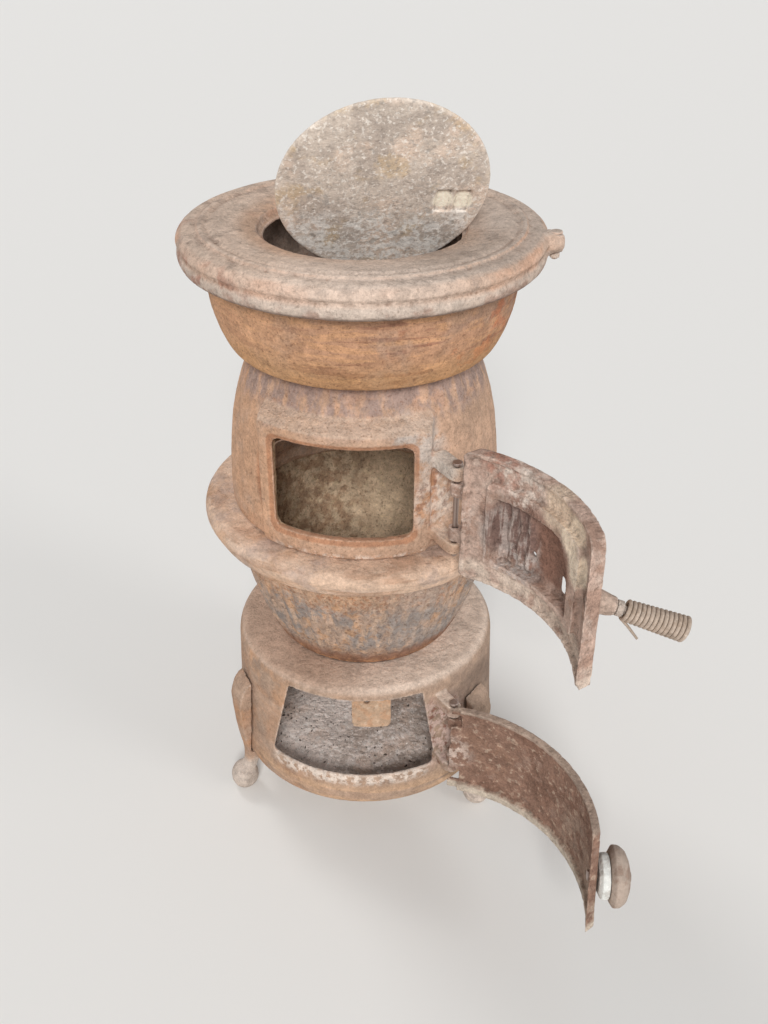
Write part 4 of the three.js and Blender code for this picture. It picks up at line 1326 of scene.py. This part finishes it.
@dataclass
class TopPlate(Casting):
    """The ring on top, with its lid hole, beads, rolled rim and clamping ear."""

    node: str = "top_plate"
    finish: Finish = RIM
    grain: float = 1.7
    ease: int = 2
    lump: float = 1.0
    pit: float = 0.5
    ear_at: float = -9.0
    ear_reach: float = 5.0
    ear_r: float = 8.5
    bolt_r: float = 3.8
    knuckle: tuple[float, ...] = (9.0, 13.0, 12.5, 10.0, 4.5)

    def profile(self) -> Profile:
        """The ring's section."""
        seat, rim, top = S.hole_r - S.ledge, S.rim_r, S.z_top
        inner = rim - 7
        return [
            (seat, top - 6),
            (S.hole_r + 6, top - 6),
            (S.hole_r + 8, top + 1),
            (S.bowl_top_r - 10, top + 5.5),
            (S.bowl_top_r - 7, top),
            (S.bowl_top_r + 4, top),
            (S.bowl_top_r + 6, top + 4),
            (inner - 3, top + 3),
            (inner, top - 4),
            (inner - 1, top - 14),
            (inner - 5, top - 24),
            (rim - 7, top - 24),
            (rim - 2, top - 20),
            (rim - 0.5, top - 13),
            (rim - 2, top - 8.5),
            (rim - 4, top - 7),
            (rim - 1.5, top - 4),
            (rim, top - 1),
            (rim - 3, top + 5),
            (rim - 9, top + 9.5),
            (rim - 16, top + 10.5),
            (rim - 21, top + 8.5),
            (rim - 22.5, S.z_rim - 0.5),
            (rim - 25.5, S.z_rim + 0.3),
            (rim - 28.5, S.z_rim - 0.5),
            (rim - 30, S.z_rim - 3),
            (rim - 33.5, S.z_rim - 3),
            (rim - 35.5, S.z_rim - 0.5),
            (S.hole_r + 3, top + 7.5),
            (S.hole_r, top + 6),
            (S.hole_r, top),
            (seat, top),
        ]

    def solid(self) -> bpy.types.Object:
        """The ring with its ear, and the ear's hole."""
        reach, top = S.rim_r + self.ear_reach, S.z_top
        ring = spun("ring", eased(self.profile(), 1.8, 2), 240)
        boss = rod("boss", self.ear_r, polar(reach, self.ear_at, top - 12), polar(reach, self.ear_at, top + 5))
        along = (S.rim_r - 18, S.rim_r - 4, reach - 2, reach + 5, reach + 9.5)
        root = tube("root", [polar(r, self.ear_at, top - 3.5) for r in along], self.knuckle, 24)
        low, high = polar(reach, self.ear_at, top - 20), polar(reach, self.ear_at, top + 12)
        parts = [boss] + [carve(part, rod("bore", self.bolt_r, low, high)) for part in (ring, root)]
        parts[0] = carve(boss, rod("bore", self.bolt_r, low, high))
        return together("top_plate", parts)


@dataclass
class Lid(Casting):
    """The round cover that stands in the hole, with its sunken lifter pocket."""

    node: str = "lid"
    slot: str = "dusty_casting"
    finish: Finish = LID
    grain: float = 1.3
    lump: float = 0.4
    pit: float = 0.2
    r: float = S.hole_r - 2.5
    thick: float = 6.0

    def pose(self) -> Matrix:
        """From the lid lying flat to how it stands, in metres."""
        return Matrix.Translation(LID_AT.translation * MM) @ LID_AT.to_3x3().to_4x4()

    def pocket(self, half: float, deep: float, top: float) -> bpy.types.Object:
        """A tool over the pocket's width, between two depths of the lid."""
        tilt = Matrix.Rotation(math.radians(-4), 4, "Z")
        corners = rounded(-half, half, -13, 13, min(1.5, half * 0.9))
        rows = [[Vector((x, y, z)) for x, y in corners] for z in (deep, top)]
        tool = from_grid("pocket", np.array(rows), wrap=False)
        tool.data.transform(Matrix.Translation(Vector((67.5, -16, 0)) * MM) @ tilt)
        return tool

    def solid(self) -> bpy.types.Object:
        """The disc with its chamfered edge, pocket and bar."""
        r, thick = self.r, self.thick
        profile = [
            (0, -thick),
            (r - 9, -thick),
            (r - 7, -thick + 1.5),
            (r - 1, -thick + 1.5),
            (r, -thick + 2.5),
            (r, -1.2),
            (r - 1.5, 0),
            (0, 0),
        ]
        disc = spun("disc", eased(profile, 1.5, 1), 180)
        disc = carve(disc, self.pocket(17.0, -3.2, 1))
        piece = together("lid", [disc, self.pocket(1.9, -5, -0.4)])
        piece.data.transform(self.pose())
        return piece


@dataclass
class UpperBowl(Casting):
    """The bowl under the rim, with the pad and the way for its flue."""

    node: str = "upper_bowl"
    finish: Finish = BOWL
    flue_half: float = 58.0
    flue_up: float = 29.0
    flue_z: float = S.z_bowl + 49
    face: float = S.bowl_top_r + 9

    def solid(self) -> bpy.types.Object:
        """The shell, its pad and the holes through both."""
        top, foot, wall, z = S.bowl_top_r, S.bowl_foot_r, S.wall, S.z_bowl
        shell = spun(
            "shell",
            eased(
                [
                    (S.neck_r - wall, z + S.gap),
                    (foot, z + S.gap),
                    (foot + 6, z + 9),
                    (foot + 13, z + 25),
                    (top - 5, z + 45),
                    (top - 2, z + 65),
                    (top, S.z_top - S.gap),
                    (top - wall, S.z_top - S.gap),
                    (top - 2 - wall, z + 65),
                    (top - 5 - wall, z + 46),
                    (foot + 13 - wall, z + 28),
                    (foot - 3, z + wall + 1),
                    (S.neck_r - wall, z + wall),
                ],
                2.5,
                3,
            ),
        )
        pad = prism("pad", oval(self.flue_half + 9, self.flue_up + 9, self.flue_z), 90, top - 50, self.face)
        above_rim = S.z_top + 5
        hollow = [(0, z), (foot - 3, z + wall), (top - 5 - wall, z + 46), (top - wall, above_rim), (0, above_rim)]
        pad = carve(pad, spun("core", np.array(hollow, float)))
        parts = [carve(part, self.way(), *self.bolt_holes()) for part in (shell, pad)]
        return together("upper_bowl", parts)

    def way(self) -> bpy.types.Object:
        """A tool through the wall, as wide as the flue."""
        return prism("way", oval(self.flue_half, self.flue_up, self.flue_z), 90, S.bowl_top_r - 70, self.face + 1)

    def bolt_holes(self) -> list[bpy.types.Object]:
        """Tools for the two bolts beside the flue."""
        made = []
        for x in (-self.flue_half - 16, self.flue_half + 16):
            ends = (Vector((x, y, self.flue_z)) for y in (self.face - 26, self.face + 1))
            made.append(rod("bolt_hole", 2.8, *ends))
        return made


@dataclass
class Belly(Casting):
    """The fluted belly with its framed fire opening and the eyes of the hinge."""

    node: str = "belly_shell"
    finish: Finish = BELLY
    half: float = 71.0
    frame: float = 17.0
    step: float = 6.0
    sunk: float = 2.2
    flutes: float = 36.0
    depth: float = 1.5
    lugs: tuple[tuple[float, float], ...] = ((-10, 4), (76, 92))
    crest_radii: tuple[float, ...] = (8.0, 6.5, 5.0)

    def skin(self) -> Profile:
        """The belly's outside, from its foot up."""
        r, z = S.belly_r, S.z_belly
        wall = ((r, 0), (r + 0.5, 28), (r - 1, 62), (r - 5, 96), (r - 11, 124), (r - 19, 150))
        shoulder = ((S.neck_r + 5, 170), (S.neck_r, S.belly))
        return [(a, z + h) for a, h in wall + shoulder]

    def way(self) -> bpy.types.Object:
        """A tool through the wall, as large as the opening."""
        corners = rounded(-self.half, self.half, FIRE.sill, FIRE.sill + FIRE.height, 9)
        return prism("way", corners, FIRE.middle, 60, S.belly_r + 12)

    def moulding(self) -> bpy.types.Object:
        """The raised frame round the opening, with its bevelled inner edge."""
        face, top = S.belly_r + S.frame_proud, FIRE.sill + FIRE.height + self.frame
        section = [
            (S.belly_r - S.wall, S.z_belly),
            (face, S.z_belly),
            (face, top - 3),
            (face - 4, top),
            (S.belly_r - 20, top + 7),
            (S.belly_r - 20, top - 2),
            (S.belly_r - 13, top - self.frame),
        ]
        band = spun("band", eased(section, 3, 1))
        half = self.half + self.frame
        window = prism("window", rounded(-half, half, S.z_belly, top + 8, 9), FIRE.middle, 60, face + 5)
        return carve(carve(band, window, keep=True), self.way(), self.bevel())

    def bevel(self) -> bpy.types.Object:
        """A tool that sinks a step round the opening into the frame."""
        half, low, high = self.half + self.step, FIRE.sill - self.step, FIRE.sill + FIRE.height + self.step
        block = prism("step", rounded(-half, half, low, high, 10), FIRE.middle, 60, S.belly_r + 12)
        bed = S.belly_r + self.sunk
        core = spun("core", np.array([(0, 380), (bed, 380), (bed, 600), (0, 600)], float))
        return carve(block, core)

    def hinge(self) -> list[bpy.types.Object]:
        """The two eyes, and the crest of scale on the upper one."""
        high = FIRE.sill + self.lugs[1][1]
        spine = ((S.belly_r - 2, 5), (S.belly_r + 9, 7), (FIRE.pin_r - 9, 8))
        crest = [polar(r, FIRE.pin_at, high - drop) for r, drop in spine]
        eyes = hinge_eyes(FIRE, self.lugs, S.belly_r - S.wall / 2)
        return [*eyes, tube("crest", crest, self.crest_radii, 20)]

    def solid(self) -> bpy.types.Object:
        """The whole casting before it is remeshed."""
        skin = self.skin()
        inner = [(r - S.wall, z) for r, z in reversed(skin)]
        shell = spun("shell", eased(skin + inner, 2.5, 3), 288)
        fluted(shell, self.finish, self.flutes, self.depth, (S.z_belly + 16, S.z_bowl - 4, 16))
        return together("belly", [carve(shell, self.way()), self.moulding(), *self.hinge()])


@dataclass
class WaistRing(Casting):
    """The rolled ring round the waist."""

    node: str = "waist_ring"
    finish: Finish = RING

    def solid(self) -> bpy.types.Object:
        """The ring's section, spun."""
        r, top, low, web = S.ring_r, S.z_ring + S.ring, S.z_ring, S.pot_top_r - 10
        section = [
            (web, low + S.gap),
            (web + 7, low + S.gap),
            (web + 8, top - S.wall),
            (r - 10, top - S.wall - 2),
            (r - S.wall, top - 13),
            (r - 9, top - 20),
            (r - 16, low + 2),
            (r - 11, low),
            (r - 4, top - 21),
            (r, top - 14),
            (r - 1, top - 7),
            (r - 5, top - 2),
            (r - 12, top),
            (web, top),
        ]
        return spun("waist_ring", eased(section, 1.8, 3), 240)


@dataclass
class FireBowl(Casting):
    """The fluted bowl that holds the fire."""

    node: str = "fire_bowl"
    slot: str = "scaled_casting"
    finish: Finish = POT
    flutes: float = 56.0
    depth: float = 2.6
    lump: float = 1.2
    pit: float = 0.6

    def solid(self) -> bpy.types.Object:
        """The bowl with its flutes and the spigot under it."""
        foot, top, wall, z, spigot = S.pot_foot_r, S.pot_top_r, S.wall + 1, S.z_pot, S.pot_foot_r - 7
        skin = [(foot, 0), (foot + 10, 14), (foot + 23, 44), (foot + 34, 82)]
        skin += [(top - 4, 118), (top, S.pot - 8), (top, S.pot)]
        inner = [(r - wall, h) for r, h in (skin[6], skin[4], skin[3], skin[1])]
        under = [(spigot, 8), (spigot - 9, 8), (spigot - 9, -5), (spigot, -5), (spigot, 0)]
        section = [(r, z + h) for r, h in skin + inner + under]
        shell = spun("fire_bowl", eased(section, 2.2, 3), 264)
        return fluted(shell, self.finish, self.flutes, self.depth, (z + 6, z + S.pot - 6, 14))


@dataclass
class Grate(Casting):
    """The grate, whose shaker tab shows in the ash opening with its worn lip and hook."""

    node: str = "grate"
    body: str = "grate"
    slot: str = "dusty_casting"
    finish: Finish = TAB
    grain: float = 1.5
    ease: int = 2
    arm: float = S.base_r - 20
    low: float = S.z_deck - S.wall - 14
    lip_r: float = 1.9
    hook_r: float = 1.5

    def solid(self) -> bpy.types.Object:
        """The grate's own solid with the tab's flare, lip and hook on it."""
        bottom, top = self.low - 43, self.low + 5
        flare = prism("flare", rounded(-17, 28.5, bottom, top, 7), -90, self.arm - 5.5, self.arm - 0.5)
        flare = carve(flare, prism("eye", oval(3.6, 3.6, self.low - 5, 20), -90, self.arm - 8, self.arm + 2))
        front = -self.arm - 0.2
        edge = [Vector((x, front, bottom + 2 + 0.004 * (x - 5) ** 2)) for x in range(-15, 26, 4)]
        lip = tube("lip", edge, [self.lip_r] * len(edge), 12)
        turns = [math.radians(200 - 20 * i) for i in range(11)]
        bend = [Vector((2 + 7 * math.cos(t), front, self.low - 5 + 6 * math.sin(t))) for t in turns]
        hook = tube("hook", bend, [self.hook_r] * len(bend), 12)
        return together("grate", [copy_of("plate", self.node), flare, lip, hook])


@dataclass
class BaseDrum(Casting):
    """The drum that holds the ash, with its doorway and the eyes of its hinge."""

    node: str = "base_drum"
    finish: Finish = BASE
    top_half: float = 78.0
    foot_half: float = 96.0
    grain: float = 2.1
    lugs: tuple[tuple[float, float], ...] = ((2, 16), (88, 104))
    legs: tuple[float, ...] = (-156, -36, 84)

    def skin(self) -> Profile:
        """The drum's outside, from its foot up."""
        r, deck = S.base_r, S.deck_r
        wall = ((r - 2, 0), (r, 4), (r, 14), (r - 3, 59), (r - 5.5, 119))
        shoulder = ((deck + 3, S.base - 13), (deck, S.base - 5), (deck - 6, S.base))
        return [(a, S.leg + h) for a, h in wall + shoulder]

    def section(self) -> Profile:
        """The whole wall with its deck above and its ledge below."""
        skin, wall, z = self.skin(), S.wall, S.leg
        inner = [(r - wall, h) for r, h in reversed(skin[2:-2])]
        return [
            *skin,
            (S.pot_foot_r - 6.2, S.z_deck),
            (S.pot_foot_r - 6.2, S.z_deck - wall),
            (S.deck_r - wall - 4, S.z_deck - wall),
            *inner,
            (S.base_r - wall - 3, z + 8),
            (S.base_r - wall - 12, z + 8),
            (S.base_r - wall - 12, z),
        ]

    def solid(self) -> bpy.types.Object:
        """The drum with its doorway and hinge."""
        top, foot = ASH.sill + ASH.height, ASH.sill
        corners = [(-self.foot_half, foot), (self.foot_half + 2, foot)]
        corners += [(self.top_half + 3, top), (7 - self.top_half, top)]
        way = prism("way", corners, ASH.middle, 60, S.base_r + 12)
        bolt_z = S.leg + 62
        holes = [rod("hole", 3.8, polar(119, at, bolt_z), polar(169, at, bolt_z)) for at in self.legs]
        shell = carve(spun("shell", eased(self.section(), 2.2, 3), 240), way, *holes)
        return together("base_drum", [shell, *hinge_eyes(ASH, self.lugs, S.base_r - 10)])


@dataclass
class AshBed(Casting):
    """The ash pit's floor with the ash that lies on it."""

    node: str = "ash_floor"
    slot: str = "pale_steel"
    finish: Finish = ASHES
    r: float = S.base_r - S.wall - 4.5
    deep: float = 9.0

    def build(self) -> bpy.types.Object:
        """A disc whose top is heaped ash.

        Returns:
            The finished piece.
        """
        low = S.leg + 8 + S.gap
        radii = np.linspace(0, self.r, 90)
        section = [(r, low) for r in radii] + [(r, low + 3) for r in radii[::-1]]
        piece = spun("ash_floor_casting", np.array(section), 240)
        for vertex in piece.data.vertices:
            if vertex.co.z > (low + 1) * MM:
                r = math.hypot(vertex.co.x, vertex.co.y) / (self.r * MM)
                slope = 0.35 + 0.65 * (0.5 + 0.5 * vertex.co.y / (self.r * MM))
                swell = 0.5 + 0.5 * math.sin(vertex.co.x * 48) * math.cos(vertex.co.y * 37 + 1.3)
                vertex.co.z += self.deep * MM * slope * swell * max(0.0, 1 - r**6)
        worn(piece, self.finish, (14, 1.6), (5, 0.8), 4.0)
        return dress(piece, self.finish, self.body, self.slot, self.node)


@dataclass
class Cinders:
    """Crumbs of cinder and lime strewn over the ash."""

    density: float = 3000.0
    size: float = 1.8

    def build(self, bed: bpy.types.Object) -> list[bpy.types.Object]:
        """Strews dark and pale crumbs over the bed.

        Args:
            bed: The ash that they lie on.

        Returns:
            The two finished pieces.
        """
        made = []
        for name, finish, share, seed in (("dark_cinders", CINDER, 1.0, 5), ("pale_cinders", PALE, 0.35, 9)):
            piece = link(bpy.data.objects.new(name, bed.data.copy()))
            values = {"Density": self.density * share, "Crumb size": self.size * MM, "Seed": seed}
            CRUMBS.apply(piece, **{**values, "Material": finish.material()})
            made.append(dress(piece, finish, "stove", "pale_steel"))
        return made


@dataclass
class FireDoorCasting(Casting):
    """The fire door, with the cast ribs that show on its inner face."""

    node: str = "fire_door"
    body: str = "fire_door"
    slot: str = "scaled_casting"
    finish: Finish = DOOR_INSIDE
    grain: float = 1.3
    ease: int = 3
    lump: float = 1.0
    pit: float = 0.7
    ribs: tuple[float, ...] = (58, 47, 36, 25)
    rib_points: int = 12
    rib_r: float = 3.4
    face: float = S.belly_r + S.frame_proud + 16
    skin: float = 11.5
    tip_z: tuple[float, float] = (409.0, 432.0)
    tip_x: tuple[float, float] = (-105.3, -86.0)

    def solid(self) -> bpy.types.Object:
        """The node's solid with the ribs on it."""
        parts = [copy_of("plate", self.node)]
        pan = self.face - 5
        for across in self.ribs:
            at = FIRE.middle + math.degrees(math.asin(across / pan))
            sway = [1.2 * math.sin(across + i) for i in range(self.rib_points)]
            shut = (polar(pan - 0.4, at + 0.25 * sway[i], FIRE.sill + 14 + i * 6.4) for i in range(self.rib_points))
            parts.append(tube("rib", [FIRE.opened(p) for p in shut], [self.rib_r + 0.6 * s for s in sway], 10))
        return together("fire_door", [*parts, self.tip()])

    def tip(self) -> bpy.types.Object:
        """The long lower corner at the door's free end."""
        (foot, top), back = self.tip_z, self.face - self.skin
        section = [(back, foot), (self.face, foot), (self.face, top), (back, top)]
        window = prism("window", rounded(*self.tip_x, foot, top + 8, 4.5), FIRE.middle, 60, 200)
        piece = carve(spun("tip", eased(section, 2, 1)), window, keep=True)
        pin = Matrix.Translation(FIRE.pin * MM)
        piece.data.transform(pin @ Matrix.Rotation(math.radians(FIRE.open_by), 4, "Z") @ pin.inverted())
        return piece


@dataclass
class CoilGrip:
    """The wire grip wound on the latch's spindle, and its loose end."""

    node: str = "coil_grip"
    at: float = -129.5
    z: float = FIRE.sill + 55
    tilt: float = -8.0
    droop: float = 17.0
    start: float = 25.5
    length: float = 57.0
    turns: float = 14.0
    r: float = 8.2
    flare: float = 2.2
    wire: float = 1.9
    tail: tuple[tuple[float, float], ...] = ((-4, 6), (-1, 11), (6, 17), (15, 26))
    taper: tuple[float, ...] = (0.8, 0.75, 0.7, 0.6)

    def point(self, out: float) -> Vector:
        """A point on the spindle of the open door, out from the door's face."""
        face = S.belly_r + S.frame_proud + 16
        droop = math.radians(self.droop)
        way = polar(math.cos(droop), self.at + self.tilt, -math.sin(droop))
        return FIRE.opened(polar(face, self.at, self.z) + way * out)

    def build(self) -> bpy.types.Object:
        """Winds the coil and lays it on the spindle.

        Returns:
            The finished piece.
        """
        coil = link(bpy.data.objects.new("coil_grip_wire", bpy.data.meshes.new("coil")))
        sizes = {
            "Turns": self.turns,
            "Radius": self.r * MM,
            "Far radius": (self.r + self.flare) * MM,
            "Length": self.length * MM,
            "Wire": self.wire * MM,
        }
        COIL.apply(coil, **sizes, Material=WIRE.material())
        along = (self.point(1) - self.point(0)).normalized()
        turn = Vector((0, 0, 1)).rotation_difference(along)
        coil.data.transform(Matrix.Translation(self.point(self.start) * MM) @ turn.to_matrix().to_4x4())
        bend = [self.point(self.start + out) - Vector((0, 0, drop)) for out, drop in self.tail]
        loose = tube("tail", bend, [self.wire * share for share in self.taper], 12)
        piece = together("coil_grip_wire", [coil, loose])
        return dress(piece, WIRE, "fire_latch", "pale_steel", self.node)


# The stage.


@dataclass(frozen=True)
class Viewpoint:
    """The photograph's own camera, solved from the stove's rims and openings.

    Args:
        focal: Focal length in pixels of the 1024 px long side.
        pitch: Degrees down.
        yaw: Degrees to the right.
        roll: Degrees of roll.
        place: Where it stands, in millimetres.
    """

    focal: float = 1074.0
    pitch: float = 32.818
    yaw: float = 1.218
    roll: float = 0.235
    place: tuple[float, float, float] = (0.0, -1052.2, 1047.3)

    def build(self) -> bpy.types.Object:
        """Makes the camera and gives it to the scene."""
        pitch, yaw, roll = (math.radians(v) for v in (self.pitch, self.yaw, self.roll))
        ahead = Vector((math.sin(yaw) * math.cos(pitch), math.cos(yaw) * math.cos(pitch), -math.sin(pitch)))
        right = Vector((math.cos(yaw), -math.sin(yaw), 0.0))
        up = right.cross(ahead)
        across = right * math.cos(roll) + up * math.sin(roll)
        upward = up * math.cos(roll) - right * math.sin(roll)
        data = bpy.data.cameras.new("camera")
        data.sensor_width = 36.0
        data.lens = self.focal / 1024 * 36.0
        camera = link(bpy.data.objects.new("camera", data))
        turn = Matrix((across, upward, -ahead)).transposed().to_4x4()
        camera.matrix_world = Matrix.Translation(Vector(self.place) * MM) @ turn
        bpy.context.scene.camera = camera
        return camera


@dataclass(frozen=True)
class Studio:
    """A plain pale floor, soft lamps and a pale surround."""

    floor: Colour = (232, 230, 226)
    reach: float = 40.0
    surround: float = 0.38
    seen: float = 0.95
    softness: float = 16.0
    suns: tuple[tuple[tuple[float, float, float], float], ...] = (
        ((-0.03, -1.0, 0.66), 2.15),
        ((1.0, -0.6, 0.7), 0.45),
        ((-0.6, 0.8, 0.9), 0.55),
    )

    def build(self) -> None:
        """Makes floor, world and lamps."""
        self.make_floor()
        self.make_world()
        for side, power in self.suns:
            data = bpy.data.lights.new("soft_lamp", "SUN")
            data.angle = math.radians(self.softness)
            data.energy = power
            lamp = link(bpy.data.objects.new("soft_lamp", data))
            lamp.location = side
            lamp.rotation_euler = (-Vector(side)).to_track_quat("-Z", "Y").to_euler()

    def make_floor(self) -> None:
        """A wide flat floor that takes the stove's shadow."""
        built = bmesh.new()
        bmesh.ops.create_grid(built, x_segments=1, y_segments=1, size=self.reach)
        floor = from_bmesh("floor", built)
        floor.location.z = -0.0002
        paint = bpy.data.materials.new("plain_floor")
        paint.use_nodes = True
        shader = paint.node_tree.nodes["Principled BSDF"]
        shader.inputs["Base Color"].default_value = linear(self.floor)
        shader.inputs["Roughness"].default_value = 0.9
        floor.data.materials.append(paint)

    def make_world(self) -> None:
        """A pale surround that lights gently and shows white to the eye."""
        world = bpy.data.worlds.new("surround")
        world.use_nodes = True
        world.node_tree.nodes.clear()
        wires = Wiring(world.node_tree)
        rays = wires.add("ShaderNodeLightPath").outputs
        direct = wires.math("MAXIMUM", rays["Is Camera Ray"], rays["Is Glossy Ray"])
        direct = wires.math("MAXIMUM", direct, rays["Is Transmission Ray"])
        extra = wires.math("MULTIPLY", direct, self.seen - self.surround)
        strength = wires.math("ADD", self.surround, extra)
        sky = wires.add("ShaderNodeBackground", {"Color": (0.96, 0.97, 1.0, 1.0), "Strength": strength})
        wires.add("ShaderNodeOutputWorld", {"Surface": sky.outputs[0]})
        bpy.context.scene.world = world


# The stove.


def kept_nodes() -> dict[str, Finish]:
    """CAD nodes whose own shape is right, with the finish of each."""
    bolts = ("flue_bolt_left", "flue_bolt_right", "leg_bolt_left", "leg_bolt_right", "leg_bolt_back", "latch_washer")
    return {name: STEEL for name in bolts}


def castings() -> list[Casting]:
    """Every cast piece, from the top down."""
    small = {"grain": 0.8, "ease": 3, "lump": 0.2, "pit": 0.12}
    leg = {"finish": LEG, "slot": "dusty_casting", "grain": 1.4, "ease": 14, "lump": 0.8}
    return [
        TopPlate(),
        Lid(),
        UpperBowl(),
        Casting("flue_collar", finish=SCALE, slot="scaled_casting", grain=1.4),
        Belly(),
        WaistRing(),
        FireBowl(),
        Grate(),
        BaseDrum(),
        Casting("leg_left", **leg),
        Casting("leg_right", **leg),
        Casting("leg_back", **leg),
        FireDoorCasting(),
        Casting("fire_hinge_pin", slot="rusted_steel", finish=STEEL, **small),
        Casting("ash_hinge_pin", slot="rusted_steel", finish=STEEL, **small),
        Casting("latch_spindle", "fire_latch", "rusted_steel", PALE, **small),
        Casting("ash_door", "ash_door", "scaled_casting", ASH_DOOR, grain=1.4, lump=1.0, pit=0.7),
        Casting("knob_stud", "ash_door", "rusted_steel", STEEL, **small),
        Casting("ash_knob", "ash_knob", "rusted_casting", KNOB, grain=0.9, ease=8, lump=0.4, pit=0.2),
        Casting("knob_hub", "ash_knob", "pale_steel", HUB, grain=0.7, ease=4, lump=0.2, pit=0.1),
        Casting("ear_bolt", finish=RIM, slot="rusted_steel", grain=0.8, ease=10, lump=0.3, pit=0.2),
        Casting("ear_nut", finish=RIM, slot="rusted_steel", **small),
    ]


def main() -> None:
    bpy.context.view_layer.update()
    for name, finish in kept_nodes().items():
        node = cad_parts[name]
        node.data.materials.clear()
        node.data.materials.append(finish.material())
    for casting in castings():
        casting.build()
    Cinders().build(AshBed().build())
    CoilGrip().build()
    Viewpoint().build()
    Studio().build()
    scene = bpy.context.scene
    scene.view_settings.view_transform = "Standard"


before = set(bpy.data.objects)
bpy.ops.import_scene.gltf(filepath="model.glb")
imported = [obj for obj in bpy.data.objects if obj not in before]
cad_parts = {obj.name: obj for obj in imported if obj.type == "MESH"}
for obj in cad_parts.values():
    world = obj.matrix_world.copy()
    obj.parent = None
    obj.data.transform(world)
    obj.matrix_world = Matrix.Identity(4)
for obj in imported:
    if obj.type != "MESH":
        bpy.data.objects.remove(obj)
FLUTES = flute_tree()
CAST = cast_tree()
COIL = coil_tree()
CRUMBS = crumb_tree()

if __name__ == "__main__":
    main()
